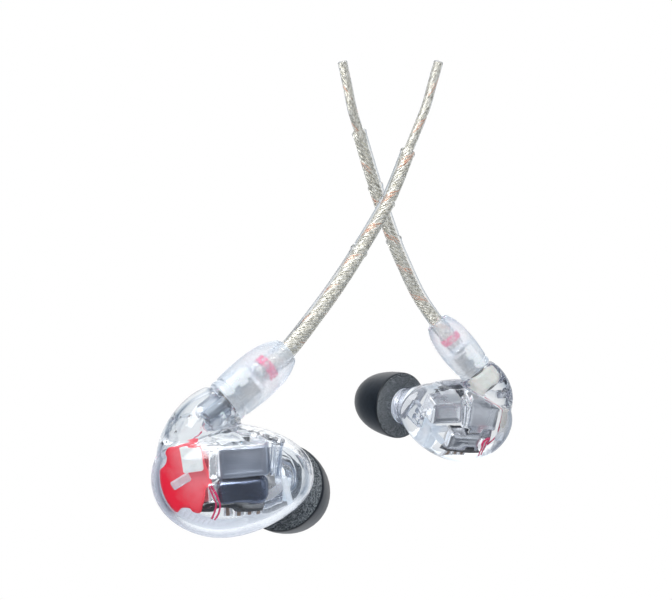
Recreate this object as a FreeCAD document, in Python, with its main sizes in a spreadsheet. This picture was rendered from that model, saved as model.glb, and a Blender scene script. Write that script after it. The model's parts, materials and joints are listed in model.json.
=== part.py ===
import FreeCAD, Part
import math
import os
import Sketcher

# A pair of in-ear monitors hanging from their two leads: clear two-piece shells with
# balanced-armature drivers inside, swivelling coaxial plugs in soft boots, and formable
# ear-hook cables that cross in front of one another.
#
# World frame: +Z up, +X to the wearer-facing right, +Y towards the ear side of the left
# earphone.  The origin is the centre of the left lead's cut end.
#
# Each earphone part is drawn once, in the earphone's own frame: x along the shell, y towards
# the ear, z up, origin in the middle of the shell.  The left earphone is that drawing moved
# into place; the right one is its mirror image, turned to hang the other way.

V = FreeCAD.Vector
doc = FreeCAD.newDocument("InEarMonitors")
sheet = doc.addObject("Spreadsheet::Sheet", "Dims")

DIMENSIONS = {
    # shell
    "shell_out_depth": 7.0,
    "shell_ear_depth": 5.5,
    "shell_wall": 0.9,
    "seam_plane": -1.4,
    "seam_gap": 0.02,
    # nozzle
    "boss_base_radius": 5.2,
    "boss_top_radius": 3.9,
    "boss_start": 2.4,
    "boss_end": 7.2,
    "seat_radius": 3.0,
    "nozzle_radius": 2.0,
    "nozzle_bore": 1.35,
    "nozzle_flange": 2.85,
    "nozzle_root": 4.6,
    "nozzle_tip": 16.5,
    "collar_radius": 3.6,
    "collar_head": 2.3,
    "collar_thread": 1.4,
    "collar_thread_radius": 2.95,
    "running_gap": 0.05,
    "screen_thickness": 0.2,
    # ear tip
    "tip_start": 10.0,
    "tip_length": 10.8,
    "tip_radius": 6.4,
    "tip_back_radius": 6.2,
    "tip_core_radius": 2.75,
    # plug and boot
    "boot_length": 11.7,
    "boot_gap": 0.3,
    "boot_half_width": 3.2,
    "boot_half_depth": 2.75,
    "boot_exit_radius": 1.75,
    "plug_body_width": 3.7,
    "plug_body_depth": 3.3,
    "plug_body_length": 4.3,
    "jack_block_depth": 3.3,
    "jack_block_width": 3.9,
    "jack_block_length": 3.4,
    "jack_block_round": 0.9,
    "spigot_radius": 1.20,
    "spigot_length": 2.9,
    "jack_bore": 1.25,
    "jack_radius": 1.45,
    "pin_radius": 0.32,
    # cable
    "cable_radius": 1.30,
    "cable_bore": 1.02,
    "core_radius": 0.98,
    "upper_radius": 1.22,
    "lead_radius": 0.79,
    "lead_bore": 0.62,
    "lead_core_radius": 0.58,
    "lead_straight": 8.0,
    "bend_gap": 0.45,
}
for row, (alias, value) in enumerate(DIMENSIONS.items(), start=1):
    sheet.set(f"A{row}", alias)
    sheet.set(f"B{row}", str(value))
    sheet.setAlias(f"B{row}", alias)
doc.recompute()


def size(expression):
    """Value of a sheet expression, such as 'Dims.shell_wall * 2'."""
    result = sheet.evalExpression(expression)
    return float(getattr(result, "Value", result))


# ---------------------------------------------------------------- earphone frame

NOZZLE_AXIS = V(0.25, 0.885, -0.40).normalize()
NOZZLE_BASE = V(2.9, 1.2, 0.3)
PLUG_AXIS = V(0.685, 0.45, 0.572).normalize()
SOCKET = V(-1.6, 0.3, 9.8)
CROOK = V(0.9, 0.0, 7.3)            # inside corner between the neck and the body

SHELL_OUTLINE = [
    (10.5, 0.1), (9.6, 2.9), (6.8, 5.2), (3.0, 6.6), (-1.5, 7.2), (-6.5, 6.3), (-10.0, 3.6),
    (-10.8, 0.2), (-9.4, -3.7), (-6.2, -6.2), (-1.8, -7.3), (3.0, -6.5), (7.2, -4.4), (9.7, -2.1),
]
LAYER_HEIGHTS = [-0.995, -0.96, -0.85, -0.65, -0.35, 0, 0.35, 0.65, 0.85, 0.96, 0.995]
DOME_POWER = 2.7

# neck stations around the crook: fan angle, inner and outer distance, middle y, half depth,
# and lean of the section towards +y
NECK_STATIONS = [
    (134.4, 0.12, 6.75, 0.30, 3.0, 25.0),
    (155.0, 0.25, 7.95, -0.70, 3.3, 16.0),
    (172.0, 0.40, 9.15, -0.95, 3.8, 7.0),
    (190.0, 1.20, 10.9, -0.60, 4.3, 0.0),
    (207.0, 3.20, 12.4, -0.20, 4.5, 0.0),
]


def rotation_to(axis, sideways=None):
    """Rotation taking z to axis and, where given, x as near as possible to sideways."""
    z = V(axis).normalize()
    if sideways is None:
        return FreeCAD.Rotation(V(0, 0, 1), z)
    x = V(sideways) - z * V(sideways).dot(z)
    return FreeCAD.Rotation(x, z.cross(x), z, "ZXY")


def along(point, axis, distance):
    return V(point) + V(axis) * distance


def ellipse_wire(centre, normal, major_dir, major, minor):
    """Closed elliptical wire; major_dir holds the first half axis."""
    circle = Part.Circle(V(0, 0, 0), V(0, 0, 1), 1.0).toNurbs().toShape()
    flat = FreeCAD.Matrix()
    flat.scale(major, minor, 1.0)
    wire = Part.Wire([circle.transformGeometry(flat)])
    wire.Placement = FreeCAD.Placement(V(centre), rotation_to(normal, major_dir))
    return wire


def feature(name, shape):
    obj = doc.addObject("Part::Feature", name)
    obj.Shape = shape
    return obj


def outline_wire(depth, scale, inset):
    """The shell's egg outline in the plane y = depth, scaled about the origin and inset."""
    points = []
    for x, z in SHELL_OUTLINE:
        reach = math.hypot(x, z)
        factor = scale * (reach - inset) / reach
        points.append(V(x * factor, depth, z * factor))
    curve = Part.BSplineCurve()
    curve.interpolate(Points=points, PeriodicFlag=True)
    return Part.Wire([curve.toShape()])


def body_form(inset):
    """Domed, egg-shaped solid: the shell's outer form (inset 0) or its cavity."""
    wires = []
    for level in LAYER_HEIGHTS:
        depth = size("Dims.shell_ear_depth") if level > 0 else size("Dims.shell_out_depth")
        scale = (1 - abs(level) ** DOME_POWER) ** (1 / DOME_POWER)
        wires.append(outline_wire(level * (depth - inset), scale, inset))
    return Part.makeLoft(wires, True, False)


def neck_station(angle, near, far, middle, half_depth, lean, inset, overshoot):
    """One oval of the neck, standing on the fan plane at this angle about the crook."""
    turn = math.radians(angle)
    radial = V(math.cos(turn), 0, math.sin(turn))
    tangent = V(math.sin(turn), 0, -math.cos(turn))
    lean_turn = math.radians(lean)
    normal = tangent * math.cos(lean_turn) + V(0, 1, 0) * math.sin(lean_turn)
    centre = CROOK + radial * ((near + far) / 2) + V(0, middle, 0) + normal * overshoot
    return ellipse_wire(centre, normal, radial, (far - near) / 2 - inset, half_depth - inset)


def neck_form(inset):
    """Curved neck from the body to the socket face; the cavity runs out through the face."""
    stations = list(NECK_STATIONS)
    wires = [neck_station(*station, inset, 0) for station in reversed(stations)]
    if inset:
        wires.append(neck_station(*stations[0], inset, 1.0))
    return Part.makeLoft(wires, True, False)


def nozzle_cone(base_radius, top_radius, start, end):
    """Cone or cylinder on the nozzle axis between two distances from its base."""
    origin = along(NOZZLE_BASE, NOZZLE_AXIS, start)
    if base_radius == top_radius:
        return Part.makeCylinder(base_radius, end - start, origin, NOZZLE_AXIS)
    return Part.makeCone(base_radius, top_radius, end - start, origin, NOZZLE_AXIS)


def shell_halves():
    """Outer cover and ear-side half: closed forms hollowed, bored and cut at the seam."""
    wall = size("Dims.shell_wall")
    boss = nozzle_cone(size("Dims.boss_base_radius"), size("Dims.boss_top_radius"),
                       size("Dims.boss_start"), size("Dims.boss_end"))
    outer = body_form(0).fuse([neck_form(0), boss])
    cavity = body_form(wall).fuse(neck_form(wall))
    bore = nozzle_cone(size("Dims.seat_radius"), size("Dims.seat_radius"), 0,
                       size("Dims.boss_end") + 1)
    hollow = outer.cut([cavity, bore])
    seam, gap, reach = size("Dims.seam_plane"), size("Dims.seam_gap"), 40.0
    cover_side = Part.makeBox(reach, reach, reach, V(-reach / 2, seam - reach, -reach / 2))
    ear_side = Part.makeBox(reach, reach, reach, V(-reach / 2, seam + gap, -reach / 2))
    return hollow.common(cover_side), hollow.common(ear_side)


def placed(point, axis, sideways=None):
    return FreeCAD.Placement(V(point), rotation_to(axis, sideways))


def closed_line(sketch, spots):
    """Closed run of straight lines in a sketch, each end tied to the next."""
    for index, spot in enumerate(spots):
        sketch.addGeometry(Part.LineSegment(spot, spots[(index + 1) % len(spots)]), False)
    for index in range(len(spots)):
        following = (index + 1) % len(spots)
        sketch.addConstraint(Sketcher.Constraint("Coincident", index, 2, following, 1))


def turned(name, corners, point, axis):
    """PartDesign body revolved about its z axis; corners are pairs of sheet expressions."""
    body = doc.addObject("PartDesign::Body", name)
    plane = next(f for f in body.Origin.OriginFeatures if f.Role == "XZ_Plane")
    sketch = body.newObject("Sketcher::SketchObject", name + "_profile")
    sketch.AttachmentSupport = (plane, [""])
    sketch.MapMode = "FlatFace"
    closed_line(sketch, [V(size(radius), size(height), 0) for radius, height in corners])
    for index, (radius, height) in enumerate(corners):
        for kind, expression in (("DistanceX", radius), ("DistanceY", height)):
            rule = Sketcher.Constraint(kind, -1, 1, index, 1, size(expression))
            number = sketch.addConstraint(rule)
            sketch.setExpression(f"Constraints[{number}]", expression)
    turn = body.newObject("PartDesign::Revolution", name + "_turn")
    turn.Profile = sketch
    turn.ReferenceAxis = (sketch, ["V_Axis"])
    turn.Angle = 360.0
    sketch.Visibility = False
    body.Placement = placed(point, axis)
    doc.recompute()
    return body


def ring_corners(inner, outer, low, high):
    """Corners of a rectangular ring section, as expressions."""
    return [(inner, low), (outer, low), (outer, high), (inner, high)]


def block(name, lengths, centre, rounding=0.0, rotation=None):
    """Box with its middle at centre, optionally with every edge rounded."""
    box = doc.addObject("Part::Box", name)
    box.Length, box.Width, box.Height = lengths
    turn = rotation or FreeCAD.Rotation()
    corner = V(centre) - turn.multVec(V(*lengths) * 0.5)
    box.Placement = FreeCAD.Placement(corner, turn)
    if not rounding:
        return box
    rounded = doc.addObject("Part::Fillet", name + "_rounded")
    rounded.Base = box
    rounded.Edges = [(edge, rounding, rounding) for edge in range(1, 13)]
    return rounded


def rod(name, radius, length, point, axis):
    """Cylinder from point along axis; radius and length are sheet expressions."""
    cylinder = doc.addObject("Part::Cylinder", name)
    cylinder.setExpression("Radius", radius)
    cylinder.setExpression("Height", length)
    cylinder.Placement = placed(point, axis)
    return cylinder


def cut(name, base, tool):
    result = doc.addObject("Part::Cut", name)
    result.Base, result.Tool = base, tool
    return result


def common(name, base, tool):
    result = doc.addObject("Part::Common", name)
    result.Base, result.Tool = base, tool
    return result


def group(name, members):
    result = doc.addObject("Part::Compound", name)
    result.Links = members
    return result


# ---------------------------------------------------------------- one earphone's parts

PLUG_SIDE = V(0, 1, 0)              # keeps the flats of jack, plug and boot facing the ear
SIDES = ("left", "right")
masters = {}                        # parts drawn once for both ears
inside = {}                         # parts of one ear, by (side, node)


def make_shells():
    cover, ear_half = shell_halves()
    masters["outer_shell"] = feature("outer_shell_form", cover)
    masters["inner_shell"] = feature("inner_shell_form", ear_half)


def make_nozzle():
    """Removable nozzle: flanged tube, its wax screen, and the screw collar."""
    masters["nozzle_tube"] = turned("nozzle_tube_body", [
        ("Dims.nozzle_bore", "0"), ("Dims.nozzle_flange", "0"), ("Dims.nozzle_flange", "1.2"),
        ("Dims.nozzle_radius", "1.2"),
        ("Dims.nozzle_radius", "Dims.nozzle_tip - Dims.nozzle_root - 1.6"),
        ("Dims.nozzle_radius + 0.2", "Dims.nozzle_tip - Dims.nozzle_root - 1.2"),
        ("Dims.nozzle_radius + 0.2", "Dims.nozzle_tip - Dims.nozzle_root - 0.5"),
        ("Dims.nozzle_radius - 0.2", "Dims.nozzle_tip - Dims.nozzle_root"),
        ("Dims.nozzle_bore", "Dims.nozzle_tip - Dims.nozzle_root"),
    ], along(NOZZLE_BASE, NOZZLE_AXIS, size("Dims.nozzle_root")), NOZZLE_AXIS)
    masters["nozzle_screen"] = rod(
        "nozzle_screen_disc", "Dims.nozzle_bore - 0.03", "Dims.screen_thickness",
        along(NOZZLE_BASE, NOZZLE_AXIS, size("Dims.nozzle_tip") - 0.45), NOZZLE_AXIS)
    bore = "Dims.nozzle_radius + Dims.running_gap"
    neck, head = "Dims.collar_thread", "Dims.collar_thread + Dims.collar_head"
    start = size("Dims.boss_end") + 0.1 - size("Dims.collar_thread")
    masters["nozzle_collar"] = turned("collar_turning", [
        (bore, "0"), ("Dims.collar_thread_radius", "0"), ("Dims.collar_thread_radius", neck),
        ("Dims.collar_radius", neck), ("Dims.collar_radius", neck + " + 0.7"),
        ("Dims.collar_radius - 0.4", neck + " + 0.9"),
        ("Dims.collar_radius - 0.4", neck + " + 1.2"),
        ("Dims.collar_radius - 0.15", neck + " + 1.4"), ("Dims.collar_radius - 0.8", head),
        (bore, head),
    ], along(NOZZLE_BASE, NOZZLE_AXIS, start), NOZZLE_AXIS)


def make_ear_tip():
    """Foam sleeve with a domed nose on a soft tube that grips the nozzle."""
    start = along(NOZZLE_BASE, NOZZLE_AXIS, size("Dims.tip_start"))
    masters["ear_tip_core"] = turned("ear_tip_core_body", ring_corners(
        "Dims.nozzle_radius + 0.2 + Dims.running_gap", "Dims.tip_core_radius",
        "0.15", "Dims.tip_length - 1.6"), start, NOZZLE_AXIS)
    foam = turned("ear_tip_foam_body", [
        ("Dims.tip_core_radius + 0.03", "0"), ("Dims.tip_back_radius", "0"),
        ("Dims.tip_radius", "1.6"), ("Dims.tip_radius", "Dims.tip_length * 0.55"),
        ("Dims.tip_radius * 0.93", "Dims.tip_length * 0.74"),
        ("Dims.tip_radius * 0.78", "Dims.tip_length * 0.88"),
        ("Dims.tip_radius * 0.60", "Dims.tip_length"),
        ("Dims.tip_core_radius + 0.03", "Dims.tip_length"),
    ], start, NOZZLE_AXIS)
    masters["ear_tip_foam"] = foam


def make_jack():
    """Coaxial jack in the neck: cream holder block, barrel, insulator and centre contact."""
    seat = along(SOCKET, PLUG_AXIS, -1.9)
    turn = rotation_to(PLUG_AXIS, PLUG_SIDE)
    block_size = [size("Dims.jack_block_" + side) for side in ("depth", "width", "length")]
    holder_box = block("jack_block", block_size, seat, size("Dims.jack_block_round"), turn)
    barrel_room = rod("barrel_room", "Dims.jack_radius + 0.02", "12", along(SOCKET, PLUG_AXIS, -6),
                      PLUG_AXIS)
    masters["jack_holder"] = cut("jack_holder_block", holder_box, barrel_room)
    barrel = turned("jack_barrel_body", ring_corners(
        "Dims.jack_bore", "Dims.jack_radius", "0", "Dims.spigot_length + 0.6"),
        along(SOCKET, PLUG_AXIS, -size("Dims.spigot_length") - 0.7), PLUG_AXIS)
    contact = turned("jack_contact_body", ring_corners(
        "Dims.pin_radius + Dims.running_gap", "0.58", "0", "1.7"),
        along(SOCKET, PLUG_AXIS, -size("Dims.spigot_length") - 0.6), PLUG_AXIS)
    masters["jack_contacts"] = group("jack_contact_pair", [barrel, contact])


def make_plug():
    """Plug of the cable: metal body with its spigot, centre pin, channel band and boot."""
    turn = rotation_to(PLUG_AXIS, PLUG_SIDE)
    width, depth = size("Dims.plug_body_width"), size("Dims.plug_body_depth")
    length, start = size("Dims.plug_body_length"), 0.45
    middle = along(SOCKET, PLUG_AXIS, start + length / 2)
    metal = block("plug_block", (depth, width, length), middle, 0.35, turn)
    spigot = rod("plug_spigot", "Dims.spigot_radius", "Dims.spigot_length + 1.2",
                 along(SOCKET, PLUG_AXIS, -size("Dims.spigot_length")), PLUG_AXIS)
    joined = doc.addObject("Part::Fuse", "plug_outside")
    joined.Base, joined.Tool = metal, spigot
    hole = rod("plug_hole", "Dims.spigot_radius - 0.35", "20",
               along(SOCKET, PLUG_AXIS, -10), PLUG_AXIS)
    masters["plug_shell"] = cut("plug_shell_body", joined, hole)
    masters["plug_pin"] = rod("plug_pin_rod", "Dims.pin_radius", "Dims.spigot_length + 4.6",
                              along(SOCKET, PLUG_AXIS, -size("Dims.spigot_length") - 0.2),
                              PLUG_AXIS)
    masters["channel_band"] = turned("channel_band_body", ring_corners(
        "Dims.cable_radius + 0.03", "Dims.cable_radius + 0.22", "0", "1.7"),
        along(SOCKET, PLUG_AXIS, 7.4), PLUG_AXIS)
    masters["boot"] = make_boot(turn, middle, length)


BOOT_STATIONS = [(0.0, 0.95), (0.12, 0.99), (0.38, 1.05), (0.62, 1.03), (0.80, 0.92), (0.93, 0.74)]


def make_boot(turn, plug_middle, plug_length):
    """Bullet-shaped soft boot: ovals shrinking to the round cable exit."""
    length, start = size("Dims.boot_length"), size("Dims.boot_gap")
    wide, deep = size("Dims.boot_half_width"), size("Dims.boot_half_depth")
    wires = []
    for share, scale in BOOT_STATIONS:
        centre = along(SOCKET, PLUG_AXIS, start + share * (length - start))
        across = turn.multVec(V(0, 1, 0))
        wires.append(ellipse_wire(centre, PLUG_AXIS, across, wide * scale, deep * scale))
    exit_radius = size("Dims.boot_exit_radius")
    end = along(SOCKET, PLUG_AXIS, length)
    wires.append(ellipse_wire(end, PLUG_AXIS, turn.multVec(V(0, 1, 0)), exit_radius, exit_radius))
    outside = feature("boot_outside", Part.makeLoft(wires, True, False))
    room = 0.04
    width, depth = size("Dims.plug_body_width"), size("Dims.plug_body_depth")
    pocket = block("boot_plug_pocket", (depth + room, width + room, plug_length + 1.2),
                   along(plug_middle, PLUG_AXIS, -0.6 + room), 0.0, turn)
    bore = rod("boot_cable_bore", "Dims.cable_radius + 0.02", "Dims.boot_length",
               along(SOCKET, PLUG_AXIS, 4.0), PLUG_AXIS)
    band_room = rod("boot_band_room", "Dims.cable_radius + 0.24", "1.8",
                    along(SOCKET, PLUG_AXIS, 7.35), PLUG_AXIS)
    hollow = doc.addObject("Part::MultiFuse", "boot_hollow")
    hollow.Shapes = [pocket, bore, band_room]
    return cut("boot_body", outside, hollow)


# What is inside, per ear, in the earphone frame.  Each block is its lengths, its middle, its
# edge rounding and its tilt about y in degrees.
LAYOUTS = {
    "left": {
        "bass_driver": [((6.4, 3.1, 4.1), (1.45, -1.4, 2.8), 0.45, -4.0)],
        "second_bass_driver": [((6.6, 3.1, 3.4), (1.15, -1.4, -1.15), 1.1, -4.0)],
        "mid_treble_drivers": [((5.3, 2.6, 4.3), (-4.9, 0.25, 1.9), 0.3, 0.0),
                               ((4.0, 2.2, 2.6), (-4.75, 0.1, -2.0), 0.3, 0.0)],
        "driver_end_plates": [((1.2, 1.3, 4.0), (-2.75, -2.05, 2.5), 0.3, 0.0),
                              ((0.7, 1.4, 2.3), (-3.0, -2.0, -1.5), 0.25, 0.0)],
        "flex_stiffeners": [((2.4, 0.3, 3.2), (-5.8, -2.25, 2.8), 0.1, 0.0),
                            ((2.2, 0.3, 1.5), (-6.9, -2.25, -0.7), 0.1, 0.0)],
        "damping_pad": [((1.0, 2.2, 2.8), (7.0, -0.5, -1.4), 0.3, 0.0)],
        "carrier": ((0.8, 4.4, 4.0), (5.9, -0.4, 2.0)),
        "film": [(-9.3, 2.6), (-6.9, 5.2), (-3.7, 5.4), (-3.7, -3.3), (-5.4, -4.4),
                 (-8.2, -3.4), (-9.6, -0.6)],
        "wires": [
            [(-2.95, -2.95, -0.3), (-2.3, -3.35, -1.4), (-2.0, -3.4, -3.0), (-2.5, -3.0, -4.4)],
            [(-2.6, -3.05, -0.2), (-1.65, -3.5, -1.6), (-1.45, -3.5, -3.2), (-2.1, -3.1, -4.5)],
            [(-4.3, -0.9, 6.3), (-5.6, 1.3, 4.9), (-5.5, 2.1, 3.0), (-4.5, 2.1, -1.0),
             (-2.6, 1.5, -3.6)],
        ],
    },
    "right": {
        "bass_driver": [((5.4, 3.2, 3.7), (3.75, -1.2, 2.5), 0.45, 8.0)],
        "second_bass_driver": [((6.0, 3.1, 2.8), (-0.9, -1.4, -2.05), 0.9, 0.0)],
        "mid_treble_drivers": [((5.4, 2.7, 4.3), (-3.6, -0.15, 1.75), 0.3, 0.0),
                               ((3.8, 2.0, 2.4), (-4.6, 1.75, -2.05), 0.3, 0.0)],
        "driver_end_plates": [((1.1, 1.3, 3.8), (0.0, -2.05, 2.0), 0.3, 0.0),
                              ((0.7, 1.4, 2.0), (-4.55, -2.4, -2.3), 0.25, 0.0)],
        "flex_stiffeners": [((1.0, 0.3, 3.2), (-7.3, -2.15, 2.2), 0.1, 0.0),
                            ((1.6, 0.3, 1.5), (-7.2, -2.15, -0.9), 0.1, 0.0)],
        "damping_pad": [((1.4, 2.4, 3.2), (4.9, -1.0, -1.9), 0.3, 0.0)],
        "carrier": ((0.8, 3.2, 2.6), (7.4, -0.4, 0.6)),
        "film": [(-9.3, 2.6), (-6.9, 5.2), (-6.5, 5.2), (-6.5, -3.6), (-8.2, -3.4),
                 (-9.6, -0.6)],
        "wires": [
            [(-5.05, -3.15, -0.9), (-4.6, -3.45, -1.7), (-4.45, -3.4, -3.0),
             (-4.7, -2.9, -4.1)],
            [(-4.75, -3.2, -0.8), (-4.15, -3.45, -1.8), (-4.0, -3.4, -3.1),
             (-4.3, -2.95, -4.3)],
            [(-4.3, -0.9, 6.3), (-6.6, 0.9, 4.6), (-7.8, 1.0, 1.5), (-7.5, 0.6, -1.5),
             (-6.0, 0.2, -3.0)],
        ],
    },
}
BLOCK_NODES = ("bass_driver", "second_bass_driver", "mid_treble_drivers", "driver_end_plates",
               "flex_stiffeners", "damping_pad")
WIRE_RADIUS = 0.14
FILM_DEPTH, FILM_THICKNESS = -1.75, 0.15
BOARD_HEIGHT, CHIP_HEIGHT = -3.75, -4.22


def make_blocks(side, layout):
    """Driver cans, end plates, stiffeners and pad: rounded blocks, grouped by node."""
    for key in BLOCK_NODES:
        members = []
        for number, (lengths, middle, rounding, tilt) in enumerate(layout[key]):
            turn = FreeCAD.Rotation(V(0, 1, 0), tilt)
            members.append(block(f"{side}_{key}_{number}", lengths, middle, rounding, turn))
        inside[side, key] = group(f"{side}_{key}_blocks", members)


def make_filter_plates(side):
    """Stack of four thin steel plates on the ear side."""
    plates = [block(f"{side}_filter_plate_{number}", (4.6, 0.16, 3.6),
                    (-0.2, 2.4 + 0.2 * number, 0.9)) for number in range(4)]
    inside[side, "filter_plates"] = group(f"{side}_filter_plate_stack", plates)


def make_film(side, corners):
    """Flexible circuit: a padded sketch trimmed to the room inside the shell."""
    film = doc.addObject("PartDesign::Body", f"{side}_flex_film")
    plane = next(f for f in film.Origin.OriginFeatures if f.Role == "XZ_Plane")
    sketch = film.newObject("Sketcher::SketchObject", f"{side}_film_outline")
    sketch.AttachmentSupport = (plane, [""])
    sketch.MapMode = "FlatFace"
    closed_line(sketch, [V(x, z, 0) for x, z in corners])
    pad = film.newObject("PartDesign::Pad", f"{side}_film_pad")
    pad.Profile = sketch
    pad.Length = FILM_THICKNESS
    film.Placement = FreeCAD.Placement(V(0, FILM_DEPTH, 0), FreeCAD.Rotation())
    doc.recompute()
    room = feature(f"{side}_film_room", body_form(size("Dims.shell_wall") + 0.12))
    inside[side, "flex_circuit"] = common(f"{side}_flex_circuit_film", film, room)


def make_crossover(side):
    """Crossover board with its four chips."""
    pieces = [block(f"{side}_board", (8.4, 2.6, 0.35), (-0.3, -0.4, BOARD_HEIGHT))]
    for number, x in enumerate((-0.7, 0.7, 2.1, 3.3)):
        pieces.append(block(f"{side}_chip_{number}", (0.95, 0.9, 0.5), (x, -1.0, CHIP_HEIGHT)))
    inside[side, "crossover"] = group(f"{side}_board_and_chips", pieces)


def make_carrier(side, lengths, middle):
    """Clear carrier plate with two windows."""
    plate = block(f"{side}_carrier_plate", lengths, middle, 0.1)
    step = lengths[2] * 0.23
    windows = [block(f"{side}_window_{number}", (2.0, 1.4, 1.2 * lengths[2] / 4.0),
                     (middle[0], middle[1] - 0.6, middle[2] + shift))
               for number, shift in enumerate((-step, step))]
    inside[side, "driver_carrier"] = cut(f"{side}_carrier", plate,
                                         group(f"{side}_carrier_windows", windows))


def swept(curve, radius, hole=None):
    """Round rod or tube along an edge, made from perpendicular end circles."""
    edge = curve if isinstance(curve, (Part.Edge, Part.Wire)) else curve.toShape()
    first = edge.Edges[0]
    start = first.valueAt(first.FirstParameter)
    direction = first.tangentAt(first.FirstParameter)
    spine = Part.Wire(edge.Edges)
    profile = Part.Wire([Part.makeCircle(radius, start, direction)])
    solid = spine.makePipeShell([profile], True, False)
    if hole:
        bore = Part.Wire([Part.makeCircle(hole, start, direction)])
        solid = solid.cut(spine.makePipeShell([bore], True, False))
    return solid


def make_wires(side, runs):
    wires = []
    for number, points in enumerate(runs):
        curve = Part.BSplineCurve()
        curve.interpolate([V(*point) for point in points])
        wires.append(feature(f"{side}_wire_{number}", swept(curve, WIRE_RADIUS)))
    inside[side, "hookup_wires"] = group(f"{side}_wires", wires)


def make_inside(side):
    layout = LAYOUTS[side]
    make_blocks(side, layout)
    make_filter_plates(side)
    make_film(side, layout["film"])
    make_crossover(side)
    make_carrier(side, *layout["carrier"])
    make_wires(side, layout["wires"])


for make in (make_shells, make_nozzle, make_ear_tip, make_jack, make_plug):
    make()
for ear in SIDES:
    make_inside(ear)


# ---------------------------------------------------------------- placing both earphones

LEFT_PLACE = FreeCAD.Placement(V(-30.15, -22.0, -62.48), FreeCAD.Rotation())
RIGHT_SOCKET = V(8.7, 13.0, -51.65)
RIGHT_NOZZLE_AXIS = V(-0.591, 0.806, 0.014)
RIGHT_PLUG_AXIS = V(-0.632, -0.055, 0.773)


def frame_of(primary, secondary):
    """Rotation whose x is primary and whose xy plane holds secondary."""
    x = V(primary).normalize()
    y = (V(secondary) - x * V(secondary).dot(x)).normalize()
    return FreeCAD.Rotation(x, y, x.cross(y), "XYZ")


def mirrored(vector):
    return V(-vector.x, vector.y, vector.z)


def right_place():
    """Placement of the mirrored drawing that points its nozzle and plug the right's way."""
    drawn = frame_of(mirrored(PLUG_AXIS), mirrored(NOZZLE_AXIS))
    target = frame_of(RIGHT_PLUG_AXIS, RIGHT_NOZZLE_AXIS)
    turn = target.multiply(drawn.inverted())
    return FreeCAD.Placement(RIGHT_SOCKET - turn.multVec(mirrored(SOCKET)), turn)


RIGHT_PLACE = right_place()
nodes = {}


def place_left(key, master):
    node = doc.addObject("Part::Compound", "left_" + key)
    node.Links = [master]
    node.Placement = LEFT_PLACE
    nodes["left_" + key] = node


def place_right(key, master):
    node = doc.addObject("Part::Mirroring", "right_" + key)
    node.Source = master
    node.Base, node.Normal = V(0, 0, 0), V(1, 0, 0)
    node.Placement = RIGHT_PLACE
    nodes["right_" + key] = node


for part_name, master_part in masters.items():
    place_left(part_name, master_part)
    place_right(part_name, master_part)
for (ear, part_name), inside_part in inside.items():
    (place_left if ear == "left" else place_right)(part_name, inside_part)


# ---------------------------------------------------------------- the two cables

LEAD_ENDS = {"left": V(0, 0, 0), "right": V(-15.65, 0, 0)}
LEAD_DIRECTIONS = {"left": V(0.276, 0, 0.961).normalize(), "right": V(-0.203, 0, 0.979).normalize()}
CABLE_RUNS = {
    "left": [V(-20.3, -12.3, -41.7), V(-16.7, -8.6, -36.7), V(-12.96, -5.0, -30.8),
             V(-8.37, -2.0, -22.8), V(-4.96, -0.7, -14.5)],
    "right": [V(-1.94, 12.6, -37.7), V(-4.88, 10.0, -32.1), V(-6.80, 8.0, -28.0),
              V(-10.15, 4.6, -19.2), V(-12.99, 1.8, -10.7)],
}
STEP, BEND, SLEEVE_TOP = 2, 3, 4    # places in a cable run
CABLE_START = 6.1                   # along the plug axis, inside the boot


def plug_line(side):
    """Socket point and plug axis of one earphone, in the world frame."""
    if side == "left":
        return LEFT_PLACE.multVec(SOCKET), V(PLUG_AXIS)
    turn = RIGHT_PLACE.Rotation
    return RIGHT_PLACE.multVec(mirrored(SOCKET)), turn.multVec(mirrored(PLUG_AXIS))


def cable_curve(side):
    """Spline from the boot's exit to the start of the lead's straight end."""
    socket, axis = plug_line(side)
    first = along(socket, axis, size("Dims.boot_length") + 0.3)
    last = along(LEAD_ENDS[side], LEAD_DIRECTIONS[side], -size("Dims.lead_straight"))
    curve = Part.BSplineCurve()
    curve.interpolate(Points=[first] + CABLE_RUNS[side] + [last], InitialTangent=axis,
                      FinalTangent=LEAD_DIRECTIONS[side])
    return curve


def piece_of(curve, low, high):
    """Part of a curve between two distances along it (None means its own end)."""
    length = curve.length()
    start = curve.FirstParameter if low is None else curve.parameterAtDistance(low)
    end = curve.LastParameter if high is None else curve.parameterAtDistance(high)
    part = curve.copy()
    part.segment(start, end)
    return part.toShape(), length


def distance_to(curve, point):
    return curve.length(curve.FirstParameter, curve.parameter(point))


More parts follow.
